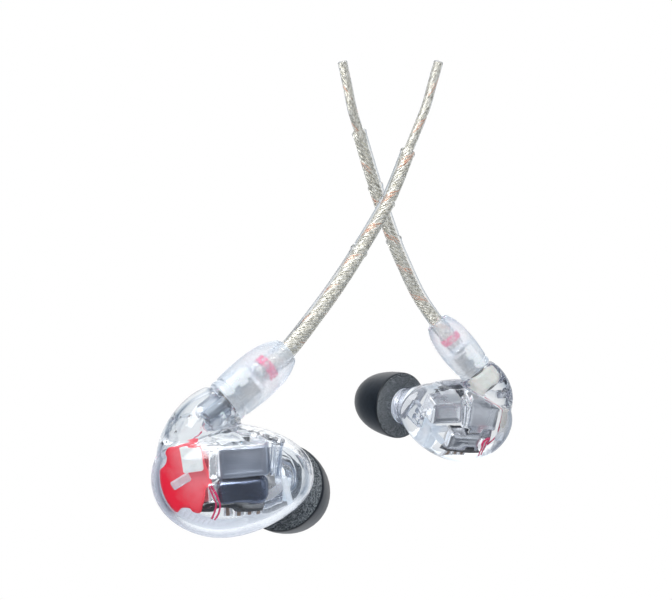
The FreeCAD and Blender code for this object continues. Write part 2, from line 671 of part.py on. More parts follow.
def make_cable(side):
    curve = cable_curve(side)
    run = CABLE_RUNS[side]
    step, bend, top = (distance_to(curve, run[index]) for index in (STEP, BEND, SLEEVE_TOP))
    gap = size("Dims.bend_gap")
    socket, axis = plug_line(side)
    inside = Part.makeLine(along(socket, axis, CABLE_START), curve.StartPoint)
    thick, _ = piece_of(curve, None, step - 0.05)
    middle, _ = piece_of(curve, step + 0.05, bend - gap)
    upper, _ = piece_of(curve, bend + gap, top)
    thin, _ = piece_of(curve, bend + gap + 0.4, None)
    straight = Part.makeLine(curve.EndPoint, LEAD_ENDS[side])
    lower_run = Part.Wire([inside, thick])
    core_run = Part.Wire([inside, piece_of(curve, None, bend - gap)[0]])
    lead_run = Part.Wire([thin, straight])
    shapes = {
        "cable_jacket": swept(lower_run, size("Dims.cable_radius"), size("Dims.cable_bore")),
        "middle_sleeve": swept(middle, size("Dims.cable_radius") - 0.06,
                               size("Dims.cable_bore")),
        "cable_core": swept(core_run, size("Dims.core_radius")),
        "upper_sleeve": swept(upper, size("Dims.upper_radius"),
                              size("Dims.lead_radius") + 0.02),
        "lead_jacket": swept(lead_run, size("Dims.lead_radius"), size("Dims.lead_bore")),
        "lead_core": swept(lead_run, size("Dims.lead_core_radius")),
    }
    for key, shape in shapes.items():
        nodes[f"{side}_{key}"] = feature(f"{side}_{key}", shape)


for cable_side in SIDES:
    make_cable(cable_side)

doc.recompute()


# ---------------------------------------------------------------- checks and export

def check_document():
    for obj in doc.Objects:
        if {"Invalid", "Error"} & set(obj.State):
            raise RuntimeError(f"{obj.Label} failed: {obj.State}")
    for name, obj in nodes.items():
        if obj.Shape.isNull() or not obj.Shape.isValid() or not obj.Shape.Solids:
            raise RuntimeError(f"{name} has no valid solid")


check_document()
os.makedirs("parts", exist_ok=True)
for node_name, node in nodes.items():
    node.Label = node_name
    node.Shape.exportStep(f"parts/{node_name}.step")
print(len(nodes), "nodes written")
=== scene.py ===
import json
import math

import bpy
import numpy as np
from mathutils import Matrix, Vector


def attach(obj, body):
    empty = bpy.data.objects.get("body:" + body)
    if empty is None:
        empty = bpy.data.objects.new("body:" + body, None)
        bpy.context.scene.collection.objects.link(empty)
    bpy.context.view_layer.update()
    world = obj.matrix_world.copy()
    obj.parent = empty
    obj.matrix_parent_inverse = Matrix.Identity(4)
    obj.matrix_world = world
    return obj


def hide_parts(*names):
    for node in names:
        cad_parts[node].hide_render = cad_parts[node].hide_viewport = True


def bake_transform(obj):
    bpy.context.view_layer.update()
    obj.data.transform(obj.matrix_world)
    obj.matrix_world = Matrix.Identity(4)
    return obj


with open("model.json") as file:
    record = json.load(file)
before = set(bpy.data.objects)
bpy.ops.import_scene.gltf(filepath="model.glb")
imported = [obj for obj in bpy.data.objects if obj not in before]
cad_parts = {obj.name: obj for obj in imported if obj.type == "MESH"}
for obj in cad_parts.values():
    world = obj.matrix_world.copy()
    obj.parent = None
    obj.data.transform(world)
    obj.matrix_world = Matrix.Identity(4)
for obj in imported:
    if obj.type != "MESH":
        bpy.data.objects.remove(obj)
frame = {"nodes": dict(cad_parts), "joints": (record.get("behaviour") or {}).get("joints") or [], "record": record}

# Clear in-ear monitors, the looks.  Every piece is built in millimetres in the frame of its
# earphone (x along the shell, y towards the ear, z up) or along a cable, then moved into the
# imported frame, in metres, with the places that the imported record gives.

bpy.context.view_layer.update()
MM = 0.001
SIDES = ("left", "right")
joints = {joint["name"]: joint for joint in frame["joints"]}
mounts = {mount["name"]: mount for mount in frame["record"]["mounts"]}
rng = np.random.default_rng(11)

# ------------------------------------------------------------------ places

SOCKET = Vector((-1.6, 0.3, 9.8))
NOZZLE_BASE = Vector((2.9, 1.2, 0.3))
PLUG_AXIS = Vector((0.685, 0.45, 0.572)).normalized()
NOZZLE_AXIS = Vector((0.25, 0.885, -0.40)).normalized()
MIRROR = Matrix(((-1, 0, 0), (0, 1, 0), (0, 0, 1)))


def basis(primary, secondary):
    x = primary.normalized()
    y = (secondary - x * secondary.dot(x)).normalized()
    return Matrix((x, y, x.cross(y))).transposed()


def earphone_place(side):
    """Matrix from the earphone's own frame, in mm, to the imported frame, in metres."""
    plug = Vector(joints[side + "_swivel"]["axis"])
    nozzle = Vector(joints[side + "_nozzle_slide"]["axis"])
    flip = MIRROR if side == "right" else Matrix.Identity(3)
    turn = basis(plug, nozzle) @ basis(flip @ PLUG_AXIS, flip @ NOZZLE_AXIS).transposed() @ flip
    shift = Vector(joints[side + "_swivel"]["pos_m"]) - turn @ SOCKET * MM
    place = (turn * MM).to_4x4()
    place.translation = shift
    return place


PLACE = {side: earphone_place(side) for side in SIDES}

# ------------------------------------------------------------------ mesh making


def place_shape(verts, faces, place):
    """The shape after a matrix, its faces turned over if the matrix mirrors it."""
    m = np.array(place)
    verts = np.asarray(verts, float) @ m[:3, :3].T + m[:3, 3]
    if np.linalg.det(m[:3, :3]) < 0:
        faces = [tuple(reversed(face)) for face in faces]
    return verts, faces


def make_piece(name, verts, faces, place, material, sharp=None):
    """Mesh object from rows of vertices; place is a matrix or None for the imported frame."""
    if place is not None:
        verts, faces = place_shape(verts, faces, place)
    mesh = bpy.data.meshes.new(name)
    mesh.from_pydata(np.asarray(verts, float).tolist(), [],
                     [tuple(int(i) for i in face) for face in faces])
    mesh.validate()
    mesh.polygons.foreach_set("use_smooth", [True] * len(mesh.polygons))
    if sharp is not None:
        mesh.set_sharp_from_angle(angle=math.radians(sharp))
    mesh.materials.append(material)
    piece = bpy.data.objects.new(name, mesh)
    bpy.context.scene.collection.objects.link(piece)
    return piece


def mark(piece, key, values):
    """Stores one value per vertex, for the piece's material to read."""
    attribute = piece.data.attributes.new(key, "FLOAT", "POINT")
    attribute.data.foreach_set("value", np.asarray(values, np.float32))


def join_meshes(parts):
    """One (verts, faces) from several."""
    verts, faces, start = [], [], 0
    for part_verts, part_faces in parts:
        verts.extend(part_verts)
        faces.extend(tuple(i + start for i in face) for face in part_faces)
        start += len(part_verts)
    return verts, faces


def smooth_line(points, steps):
    """Catmull-Rom samples through the points, whatever their dimension."""
    p = np.asarray(points, float)
    p = np.vstack([2 * p[0] - p[1], p, 2 * p[-1] - p[-2]])
    out = []
    for i in range(1, len(p) - 2):
        for t in np.linspace(0, 1, steps, endpoint=False):
            a, b, c, d = p[i - 1], p[i], p[i + 1], p[i + 2]
            out.append(0.5 * (2 * b + (c - a) * t + (2 * a - 5 * b + 4 * c - d) * t ** 2
                              + (3 * b - a - 3 * c + d) * t ** 3))
    out.append(p[-2])
    return np.array(out)


def ring_faces(rings, sides, closed_ends=(False, False), loop=False):
    """Quads between successive rings of equal size, and flat ends where asked."""
    faces = []
    for r in range(rings - (0 if loop else 1)):
        low, high = r * sides, ((r + 1) % rings) * sides
        for s in range(sides):
            n = (s + 1) % sides
            faces.append((low + s, low + n, high + n, high + s))
    if closed_ends[0]:
        faces.append(tuple(reversed(range(sides))))
    if closed_ends[1]:
        faces.append(tuple(range((rings - 1) * sides, rings * sides)))
    return faces


def lathe(profile, point, axis, sides=96, ripple=0.0):
    """Surface turned about an axis; the rows of its closed profile are (radius, along)."""
    turn = np.array(Vector(axis).to_track_quat("Z", "Y").to_matrix())
    angles = np.linspace(0, 2 * math.pi, sides, endpoint=False)
    verts = []
    for radius, along in profile:
        r = radius + (rng.normal(0, ripple, sides) if ripple else 0)
        ring = np.stack([r * np.cos(angles), r * np.sin(angles), np.full(sides, along)], 1)
        verts.extend(ring @ turn.T + np.array(point))
    return verts, ring_faces(len(profile), sides, loop=True)


def frames_along(path):
    """Tangents and two normals carried along a path without twisting."""
    path = np.asarray(path, float)
    tangent = np.gradient(path, axis=0)
    tangent /= np.linalg.norm(tangent, axis=1)[:, None]
    normal = np.cross(tangent[0], (0.31, 0.87, 0.22))
    normals = []
    for t in tangent:
        normal = normal - t * (normal @ t)
        normal = normal / np.linalg.norm(normal)
        normals.append(normal)
    normals = np.array(normals)
    return tangent, normals, np.cross(tangent, normals)


def tube(path, radius, sides):
    """Round rod along a path; radius is a number or one value per point."""
    path = np.asarray(path, float)
    _, first, second = frames_along(path)
    radii = np.broadcast_to(radius, len(path))
    angles = np.linspace(0, 2 * math.pi, sides, endpoint=False)
    verts = []
    for centre, r, u, v in zip(path, radii, first, second):
        verts.extend(centre + (np.cos(angles) * r)[:, None] * u + (np.sin(angles) * r)[:, None] * v)
    return verts, ring_faces(len(path), sides, (True, True))


CORNER_POINTS, LEAST_CORNER = 6, 0.12


def rounded_rectangle(width, height, corner):
    """Closed outline in (x, z), anticlockwise seen from -y."""
    corner = max(min(corner, width / 2 - 1e-3, height / 2 - 1e-3), 1e-3)
    points = []
    for cx, cz, start in ((1, 1, 0), (-1, 1, 90), (-1, -1, 180), (1, -1, 270)):
        for step in np.linspace(0, 90, CORNER_POINTS):
            turn = math.radians(start + step)
            points.append((cx * (width / 2 - corner) + corner * math.cos(turn),
                           cz * (height / 2 - corner) + corner * math.sin(turn)))
    return np.array(points)


def pressed_can(lengths, centre, corner, profile, tilt=0.0):
    """Pressed or moulded block: rounded rectangles in xz stacked along y, tilted about y.

    Profile rows are (y from the outer face, inset of the outline); the first and last rows
    close the two faces."""
    width, depth, height = lengths
    verts = []
    for y, inset in profile:
        outline = rounded_rectangle(width - 2 * inset, height - 2 * inset,
                                    max(corner - inset, LEAST_CORNER))
        verts.extend((x, y - depth / 2, z) for x, z in outline)
    turn = np.array(Matrix.Rotation(math.radians(tilt), 3, "Y"))
    verts = np.array(verts) @ turn.T + np.array(centre)
    return verts.tolist(), ring_faces(len(profile), len(outline), (True, True))


def can_profile(depth, round_edge=0.35, ridge=0.06, panel=0.5, emboss=0.06):
    """Profile of a can: embossed panel, rolled edge, crimped seam, plain back."""
    rows = [(emboss, panel + 0.5), (emboss, panel + 0.16), (emboss * 0.5, panel + 0.08),
            (0.0, panel)]
    for turn in np.linspace(0, math.pi / 2, 6):
        rows.append((round_edge * (1 - math.cos(turn)),
                     round_edge * (1 - math.sin(turn))))
    seam = depth * 0.62
    rows += [(seam - 0.12, 0.0), (seam - 0.06, -ridge), (seam + 0.1, -ridge), (seam + 0.16, 0.0),
             (depth - 0.25, 0.0), (depth - 0.07, 0.07), (depth, 0.25), (depth, 0.8)]
    return rows


# ------------------------------------------------------------------ looks


class Nodes:
    """Adds and links the nodes of one tree."""

    def __init__(self, tree):
        self.tree = tree
        tree.nodes.clear()

    def add(self, kind, inputs=None, **settings):
        node = self.tree.nodes.new("ShaderNode" + kind)
        for key, value in settings.items():
            setattr(node, key, value)
        for key, value in (inputs or {}).items():
            if isinstance(value, bpy.types.NodeSocket):
                self.tree.links.new(value, node.inputs[key])
            else:
                node.inputs[key].default_value = value
        return node

    def ramp(self, value, stops):
        node = self.add("ValToRGB", {"Fac": value})
        elements = node.color_ramp.elements
        while len(elements) < len(stops):
            elements.new(0.5)
        for element, (place, colour) in zip(elements, stops):
            element.position = place
            element.color = (*colour, 1.0)
        return node.outputs["Color"]

    def levels(self, value, low, high, to_low, to_high):
        node = self.add("MapRange", {"Value": value, "From Min": low, "From Max": high,
                                     "To Min": to_low, "To Max": to_high},
                        interpolation_type="SMOOTHSTEP")
        return node.outputs["Result"]


class Look(Nodes):
    """Small builder of node materials; texture places are in millimetres."""

    def __init__(self, name):
        self.material = bpy.data.materials.new(name)
        self.material.use_nodes = True
        super().__init__(self.material.node_tree)
        coords = self.add("TexCoord").outputs["Object"]
        self.mm = self.add("VectorMath", {0: coords, "Scale": 1000.0}, operation="SCALE").outputs[0]

    def noise(self, size, detail=3.0, rough=0.5, stretch=None, distortion=0.0):
        place = self.mm
        if stretch:
            place = self.add("VectorMath", {0: place, 1: stretch}, operation="MULTIPLY").outputs[0]
        return self.add("TexNoise", {"Vector": place, "Scale": 1.0 / size, "Detail": detail,
                                     "Roughness": rough, "Distortion": distortion}).outputs["Fac"]

    def mark(self, key):
        return self.add("Attribute", attribute_name=key).outputs["Fac"]

    def math(self, operation, first, second):
        return self.add("Math", {0: first, 1: second}, operation=operation).outputs[0]

    def plus(self, first, second):
        return self.math("ADD", first, second)

    def times(self, first, second):
        return self.math("MULTIPLY", first, second)

    def bump(self, height, depth, strength=1.0):
        inputs = {"Height": height, "Distance": depth * MM, "Strength": strength}
        return self.add("Bump", inputs).outputs["Normal"]

    def edge_on(self, blend, low, high, to_low, to_high):
        """A value that rises where the surface is seen edge-on."""
        facing = self.add("LayerWeight", {"Blend": blend}).outputs["Facing"]
        return self.levels(facing, low, high, to_low, to_high)

    def mix(self, factor, first, second):
        return self.add("MixShader", {0: factor, 1: first, 2: second}).outputs[0]

    def milk(self, colour, through=0.55, glow=0.0):
        """Cloudy matter: light scattered back, light let through, and a faint glow."""
        scatter = self.mix(through, self.add("BsdfDiffuse", {"Color": colour}).outputs[0],
                           self.add("BsdfTranslucent", {"Color": colour}).outputs[0])
        if not glow:
            return scatter
        luminous = self.add("Emission", {"Color": colour, "Strength": glow}).outputs[0]
        return self.add("AddShader", {0: scatter, 1: luminous}).outputs[0]

    def clear(self):
        return self.add("BsdfTransparent").outputs[0]

    def surface(self, shader):
        self.add("OutputMaterial", {"Surface": shader})
        return self.material

    def principled(self, **inputs):
        names = {key.replace("_", " ").title().replace("Ior", "IOR"): value
                 for key, value in inputs.items()}
        return self.add("BsdfPrincipled", names).outputs[0]

    def light_passes(self, shader, tint):
        """Lets lamp light through, so that what is inside a clear part is lit."""
        path = self.add("LightPath")
        soft = self.math("MAXIMUM", path.outputs["Is Shadow Ray"], path.outputs["Is Diffuse Ray"])
        return self.mix(soft, shader, self.add("BsdfTransparent", {"Color": tint}).outputs[0])


def clear_look(name, tint, milk, cloud, rough=0.02, ior=1.46, milk_colour=(0.80, 0.83, 0.95, 1),
               wave=0.02):
    """Clear moulded resin: refraction, faint flow marks, milky where seen edge-on."""
    look = Look(name)
    height = look.plus(look.noise(2.2, 2.0, 0.4), look.times(look.noise(0.25, 3.0, 0.6), 0.08))
    haze = look.levels(look.noise(0.9, 4.0), 0.45, 0.75, rough, rough + 0.05)
    glass = look.principled(base_color=tint, roughness=haze, transmission_weight=1.0, ior=ior,
                            normal=look.bump(height, wave, 0.6), specular_ior_level=0.5)
    edge = look.edge_on(0.5, 0.60, 0.98, cloud, milk)
    return look.surface(look.light_passes(look.mix(edge, glass, look.milk(milk_colour)), tint))


def shell_look(name, tint, milk_colour):
    """Clear resin of the shells: faint tint, wavy at the neck, and a milky scattering band along the rim, painted
    strongest on the lower side where the thick rim shows a band under the light.
    """
    look = Look(name)
    swirl = look.times(look.noise(2.6, 1.0, 0.3, distortion=0.9), look.mark("wavy"))
    height = look.plus(look.times(swirl, 0.42), look.times(look.noise(2.4, 2.0, 0.4), 0.012))
    haze = look.levels(look.noise(0.9, 4.0), 0.45, 0.75, 0.008, 0.025)
    glass = look.principled(base_color=tint, roughness=haze, transmission_weight=1.0, ior=1.46,
                            normal=look.bump(height, 1.0))
    edge = look.plus(look.edge_on(0.5, 0.74, 0.99, 0.004, 0.16), look.times(look.mark("rim"), 0.75))
    milky = look.milk(milk_colour, glow=0.07)
    return look.surface(look.light_passes(look.mix(edge, glass, milky), (0.95, 0.97, 0.98, 1)))


def frosted_look(name, colour, body, glow):
    """Soft translucent elastomer: cloudy, matt, with the metal inside just showing."""
    look = Look(name)
    cloud = look.noise(1.8, 4.0, 0.6, distortion=0.6)
    grain = look.noise(0.12, 2.0)
    gel = look.principled(base_color=colour, roughness=0.045, transmission_weight=1.0, ior=1.33,
                          normal=look.bump(look.plus(cloud, look.times(grain, 0.05)), 0.008, 0.5))
    cool = tuple(c * k for c, k in zip(colour, (0.74, 0.83, 0.92)))
    shade = look.ramp(look.noise(3.4, 2.0), [(0.38, cool), (0.60, colour[:3])])
    share = look.plus(look.levels(cloud, 0.35, 0.7, body - 0.07, body + 0.12),
                      look.edge_on(0.4, 0.5, 1.0, 0.0, 0.35))
    sheen = look.add("BsdfGlossy", {"Color": (1, 1, 1, 1), "Roughness": 0.35}).outputs[0]
    mixed = look.mix(0.06, look.mix(share, gel, look.milk(shade, 0.6, glow)), sheen)
    return look.surface(look.light_passes(mixed, (0.96, 0.97, 0.99, 1)))


# Direction, in the imported frame, of the painted highlight on metal: faces turned towards it are painted
# near-white and given a glow, a painted reflection of a bright card on that side.
PAINTED_HIGHLIGHT_SIDE = Vector((-0.80, -0.25, 0.55)).normalized()


def metal_look(name, colour, dark, rough=0.28, streak=(0.25, 6.0, 6.0), coat=0.0, dent=0.015,
               painted_highlight=0.0, patch=2.4, glow=0.0):
    """Drawn sheet metal: fine streaks, soft dents, and a painted highlight: faces turned towards the highlight
    side are painted near-white and given a glow, as much as the highlight argument asks.
    """
    look = Look(name)
    streaks = look.noise(0.35, 4.0, 0.65, stretch=streak)
    patches = look.noise(patch, 3.0, 0.55)
    shade = look.ramp(look.plus(look.times(streaks, 0.45), look.times(patches, 0.55)),
                      [(0.36, dark), (0.62, colour)])
    dull = look.levels(patches, 0.35, 0.7, rough - 0.07, rough + 0.1)
    normal = look.bump(look.plus(look.times(streaks, 0.25), patches), dent, 0.7)
    # Painted highlight: how far each face turns towards the highlight side; it whitens the metal's colour and
    # makes it glow.
    toward = look.add("VectorMath", {0: normal, 1: PAINTED_HIGHLIGHT_SIDE}, operation="DOT_PRODUCT")
    lit = look.levels(toward.outputs["Value"], 0.48, 0.74, 0.0, 1.0)
    shade = look.add("MixRGB", {"Fac": look.times(lit, min(1.0, 2 * painted_highlight)), "Color1": shade,
                                "Color2": (0.96, 0.96, 0.97, 1)}).outputs[0]
    return look.surface(look.principled(
        base_color=shade, roughness=dull, metallic=1.0, coat_weight=coat, coat_roughness=0.1,
        normal=normal, emission_color=shade,
        emission_strength=look.plus(look.times(lit, painted_highlight), glow)))


def plastic_look(name, colour, other, rough=0.45, size=0.8, bump=0.01, sub=0.0, coat=0.0,
                 glow=0.0):
    """Moulded plastic or ceramic with slight mottling and a fine skin."""
    look = Look(name)
    mottle = look.noise(size, 4.0, 0.6)
    shade = look.ramp(mottle, [(0.35, other), (0.65, colour)])
    skin = look.plus(look.noise(0.1, 2.0), mottle)
    return look.surface(look.principled(
        base_color=shade, roughness=look.levels(mottle, 0.3, 0.7, rough - 0.08, rough + 0.08),
        subsurface_weight=sub, subsurface_scale=0.001, coat_weight=coat,
        emission_color=shade, emission_strength=glow, normal=look.bump(skin, bump, 0.8)))


def foam_look(name):
    """Dense slow-recovery foam: satin skin on the side and nose, open cells on the cut back."""
    look = Look(name)
    cells = look.add("TexVoronoi", {"Vector": look.mm, "Scale": 7.5, "Randomness": 1.0})
    pores = look.levels(cells.outputs["Distance"], 0.0, 0.6, 0.0, 1.0)
    dust = look.noise(0.20, 3.0, 0.8)
    grain = look.plus(look.times(pores, 0.35), look.times(dust, 0.65))
    shade = look.ramp(grain, [(0.30, (0.010, 0.013, 0.016)), (0.53, (0.028, 0.034, 0.040)),
                              (0.62, (0.08, 0.092, 0.10)), (0.70, (0.38, 0.40, 0.41))])
    cut_face = look.mark("cut_face")
    skin = look.ramp(look.noise(1.2, 4.0), [(0.3, (0.006, 0.009, 0.014)),
                                            (0.7, (0.012, 0.018, 0.026))])
    colour = look.add("MixRGB", {"Fac": cut_face, "Color1": skin, "Color2": shade}).outputs[0]
    normal = look.bump(grain, 0.06, look.plus(look.times(cut_face, 0.75), 0.12))
    rough = look.levels(cut_face, 0.0, 1.0, 0.40, 0.85)
    return look.surface(look.principled(base_color=colour, roughness=rough, normal=normal,
                                        sheen_weight=0.08, sheen_roughness=0.4,
                                        specular_ior_level=0.40))


def film_look(name, deep, pale, opacity, passes, glow_strength=0.0):
    """Tinted polyimide film: deep at its edges, pale and glowing where its glow mark is high, a painted glow
    standing in for light coming back through it.
    """
    look = Look(name)
    wrinkle = look.noise(1.6, 3.0, 0.5, distortion=0.8)
    value = look.plus(look.mark("glow"), look.times(look.math("SUBTRACT", wrinkle, 0.5), 0.3))
    shade = look.ramp(value, [(0.1, deep), (0.85, pale)])
    solid = look.principled(base_color=shade, roughness=0.22, coat_weight=0.25,
                            coat_roughness=0.08, emission_color=shade,
                            emission_strength=glow_strength, specular_ior_level=0.3,
                            normal=look.bump(wrinkle, 0.05, 0.7))
    thin = look.add("BsdfTransparent", {"Color": shade}).outputs[0]
    return look.surface(look.light_passes(look.mix(opacity, thin, solid), passes))


def scribble_look(name, colour):
    """Patchy printed ink on a clear sleeve."""
    look = Look(name)
    patches = look.noise(0.55, 2.0, 0.6, distortion=1.2)
    # The ink has a faint painted glow.
    ink = look.principled(base_color=colour, roughness=0.5, emission_color=colour,
                          emission_strength=0.18)
    shows = look.levels(patches, 0.44, 0.56, 0.05, 1.0)
    return look.surface(look.mix(shows, look.clear(), ink))


def strand_look(name, colour, dark, pale):
    """Litz seen through the jacket: fine filaments from noise, its pale tone a painted glint and its dark tone
    painted shade, as in gaps between strands, with a faint painted glow.
    """
    look = Look(name)
    filament = look.noise(0.34, 2.0, 0.7, stretch=(1.0, 1.0, 0.55))
    shade = look.ramp(filament, [(0.34, dark), (0.48, colour), (0.62, pale)])
    return look.surface(look.principled(base_color=shade, metallic=0.65, roughness=0.30,
                                        emission_color=shade, emission_strength=0.07,
                                        normal=look.bump(filament, 0.045, 0.9)))


LOOKS = {
    "left_shell": shell_look("clear_resin", (0.915, 0.94, 0.96, 1), (0.76, 0.79, 0.90, 1)),
    # The right shell's cloudy colour is dark grey: painted shade along its rim and edges.
    "right_shell": shell_look("clear_solid_resin", (0.82, 0.845, 0.87, 1), (0.34, 0.36, 0.44, 1)),
    "frost": frosted_look("frosted_clip", (0.97, 0.97, 0.98, 1), 0.60, 0.30),
    "collar": clear_look("clear_collar", tint=(0.86, 0.88, 0.92, 1), milk=0.18, cloud=0.05,
                         rough=0.03),
    "collar_face": frosted_look("milky_collar_face", (0.95, 0.95, 0.97, 1), 0.65, 0.22),
    "inner_clear": clear_look("clear_inner", tint=(0.93, 0.95, 0.97, 1), milk=0.35, cloud=0.06,
                              wave=0.04),
    "jacket": clear_look("clear_jacket", tint=(0.96, 0.955, 0.94, 1), ior=1.40, rough=0.03,
                         milk=0.30, cloud=0.05, milk_colour=(0.90, 0.89, 0.87, 1), wave=0.03),
    "boot": frosted_look("frosted_boot", (0.95, 0.965, 0.985, 1), 0.30, 0.24),
    "steel": metal_look("drawn_steel", (0.68, 0.69, 0.72), (0.54, 0.55, 0.58), painted_highlight=0.40,
                        dent=0.006, patch=5.0),
    "bright": metal_look("bright_steel", (0.86, 0.87, 0.89), (0.72, 0.73, 0.75), rough=0.28,
                         painted_highlight=0.40, glow=0.06, dent=0.006, patch=5.0),
    "dull": metal_look("dull_steel", (0.30, 0.31, 0.33), (0.20, 0.21, 0.23), dent=0.006),
    "crumpled": metal_look("crumpled_foil", (0.97, 0.97, 0.98), (0.62, 0.63, 0.66), rough=0.20,
                           painted_highlight=0.45, dent=0.25, patch=0.8, glow=0.22),
    "slate": metal_look("slate_can", (0.50, 0.53, 0.61), (0.36, 0.39, 0.47), rough=0.40,
                        coat=0.3, painted_highlight=0.45, dent=0.006, patch=5.0),
    "navy": metal_look("navy_can", (0.15, 0.18, 0.26), (0.05, 0.06, 0.10), rough=0.24, coat=0.5,
                       painted_highlight=0.10, dent=0.008, patch=4.0),
    "plug": metal_look("nickel_plug", (0.46, 0.45, 0.44), (0.36, 0.355, 0.35), rough=0.42,
                       painted_highlight=0.10, dent=0.004, patch=5.0),
    "gold": metal_look("gilded_contact", (0.85, 0.62, 0.28), (0.6, 0.42, 0.18), rough=0.22),
    "cream": plastic_look("cream_plastic", (0.90, 0.88, 0.82), (0.80, 0.77, 0.70), sub=0.15,
                          glow=0.22),
    "white": plastic_look("white_plate", (0.95, 0.94, 0.92), (0.86, 0.85, 0.83), rough=0.3,
                          sub=0.2, glow=0.28),
    "board": plastic_look("dark_board", (0.03, 0.035, 0.045), (0.01, 0.012, 0.016), rough=0.35,
                          coat=0.4),
    "chip": plastic_look("chip_ceramic", (0.34, 0.22, 0.16), (0.22, 0.13, 0.09), size=0.3),
    "solder": metal_look("solder", (0.90, 0.90, 0.91), (0.62, 0.62, 0.64), rough=0.22, dent=0.05,
                         painted_highlight=0.40, patch=0.6, glow=0.15),
    "red_wire": plastic_look("red_enamel", (0.85, 0.02, 0.16), (0.65, 0.01, 0.10), rough=0.25,
                             coat=0.6, glow=0.15),
    "ink": scribble_look("pink_mark", (0.95, 0.16, 0.36, 1)),
    "foam": foam_look("black_foam"),
    "rubber": plastic_look("tip_core_rubber", (0.10, 0.11, 0.12), (0.05, 0.055, 0.06), rough=0.5),
    "mesh": metal_look("wax_screen", (0.7, 0.7, 0.7), (0.15, 0.15, 0.16), rough=0.3, dent=0.1,
                       streak=(4.0, 4.0, 4.0)),
    "film_left": film_look("red_film", (0.95, 0.0, 0.03), (0.90, 0.27, 0.30), 0.95,
                           (0.95, 0.55, 0.55, 1), 0.30),
    "film_right": film_look("clear_film", (0.85, 0.85, 0.86), (0.96, 0.95, 0.94), 0.10,
                            (0.98, 0.98, 0.98, 1)),
    "silver_strand": strand_look("tinned_strand", (0.80, 0.78, 0.70), (0.48, 0.47, 0.42),
                                 (1.0, 0.99, 0.94)),
    "copper_strand": strand_look("copper_strand", (0.93, 0.60, 0.46), (0.80, 0.38, 0.26),
                                 (0.97, 0.80, 0.70)),
}


def paint(node, look):
    """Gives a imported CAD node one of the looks."""
    mesh = frame["nodes"][node].data
    mesh.materials.clear()
    mesh.materials.append(LOOKS[look])


NODE_LOOKS = {
    "nozzle_tube": "bright", "nozzle_screen": "mesh", "ear_tip_core": "rubber",
    "jack_contacts": "plug", "plug_shell": "plug", "plug_pin": "gold",
    "driver_carrier": "inner_clear", "damping_pad": "frost",
}
for side in SIDES:
    for key, look in NODE_LOOKS.items():
        paint(f"{side}_{key}", look)
paint("left_jack_holder", "inner_clear")
paint("left_jack_contacts", "inner_clear")
paint("right_jack_holder", "cream")


def side_piece(side, key, shape, look, body="earphone", sharp=40, stands_for=()):
    """Piece drawn in its earphone's frame, riding on one of that side's bodies."""
    piece = make_piece(f"{side}_{key}", *shape, PLACE[side], LOOKS[look], sharp)
    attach(piece, f"{side}_{body}")
    if stands_for:
        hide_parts(*[f"{side}_{node}" for node in stands_for])
    return piece


# ------------------------------------------------------------------ foam tips

TIP_START = NOZZLE_BASE + NOZZLE_AXIS * 10.0
FOAM_BORE, FOAM_RADIUS, FOAM_LENGTH = 2.79, 6.4, 10.79
FOAM_SIDES, FOAM_ROUGHNESS = 144, 0.008
CUT_DEPTH, CUT_RADIUS = 0.12, 6.2
FOAM_PROFILE = [
    (2.80, 0.10), (3.6, 0.02), (4.8, 0.0), (5.8, 0.0), (6.22, 0.08), (6.37, 0.35), (6.40, 0.9),
    (6.36, 2.2), (6.22, 3.8), (5.98, 5.4), (5.60, 6.9), (5.08, 8.2), (4.45, 9.3), (3.8, 10.1),
    (3.3, 10.55), (3.0, 10.7), (2.82, 10.5), (2.80, 9.0), (2.80, 5.0),
]


def make_foam(side):
    """Turned foam tip, marked where its back is cut open."""
    profile = smooth_line(FOAM_PROFILE, 5)
    profile[:, 0] = np.clip(profile[:, 0], FOAM_BORE, FOAM_RADIUS)
    profile[:, 1] = np.clip(profile[:, 1], 0.0, FOAM_LENGTH)
    shape = lathe(profile, TIP_START, NOZZLE_AXIS, FOAM_SIDES, FOAM_ROUGHNESS)
    piece = side_piece(side, "foam_tip", shape, "foam", "tip", None, ["ear_tip_foam"])
    radius, along = np.repeat(profile, FOAM_SIDES, axis=0).T
    mark(piece, "cut_face", (along < CUT_DEPTH) & (radius < CUT_RADIUS))


# ------------------------------------------------------------------ nozzle collars and boots

COLLAR_START = NOZZLE_BASE + NOZZLE_AXIS * 5.9
COLLAR_PROFILE = [
    (2.06, 0.0), (2.75, 0.0), (2.95, 0.15), (2.95, 0.35), (2.78, 0.5), (2.95, 0.65), (2.95, 0.85),
    (2.78, 1.0), (2.95, 1.15), (2.95, 1.38), (3.5, 1.42), (3.6, 1.55), (3.6, 1.85), (3.28, 1.98),
    (3.28, 2.15), (3.55, 2.28), (3.55, 2.5), (3.22, 2.62), (3.22, 2.86), (2.06, 2.88),
]
COLLAR_FACE = [(2.06, 2.92), (3.38, 2.92), (3.46, 3.02), (3.44, 3.3), (3.2, 3.55), (2.9, 3.68),
               (2.4, 3.69), (2.06, 3.6)]


def make_collar(side):
    """Threaded clear collar with stepped rings, and its milky front face."""
    side_piece(side, "stepped_collar", lathe(COLLAR_PROFILE, COLLAR_START, NOZZLE_AXIS),
               "collar", "collar", stands_for=["nozzle_collar"], sharp=30)
    side_piece(side, "collar_face", lathe(COLLAR_FACE, COLLAR_START, NOZZLE_AXIS),
               "collar_face", "collar")


# Across the plug, earwards and sideways.
PLUG_X = (Vector((0, 1, 0)) - PLUG_AXIS * PLUG_AXIS.y).normalized()
PLUG_Y = PLUG_AXIS.cross(PLUG_X)
OVAL_SIDES = 96


def by_plug(x, y, along):
    return tuple(SOCKET + PLUG_AXIS * along + PLUG_X * x + PLUG_Y * y)


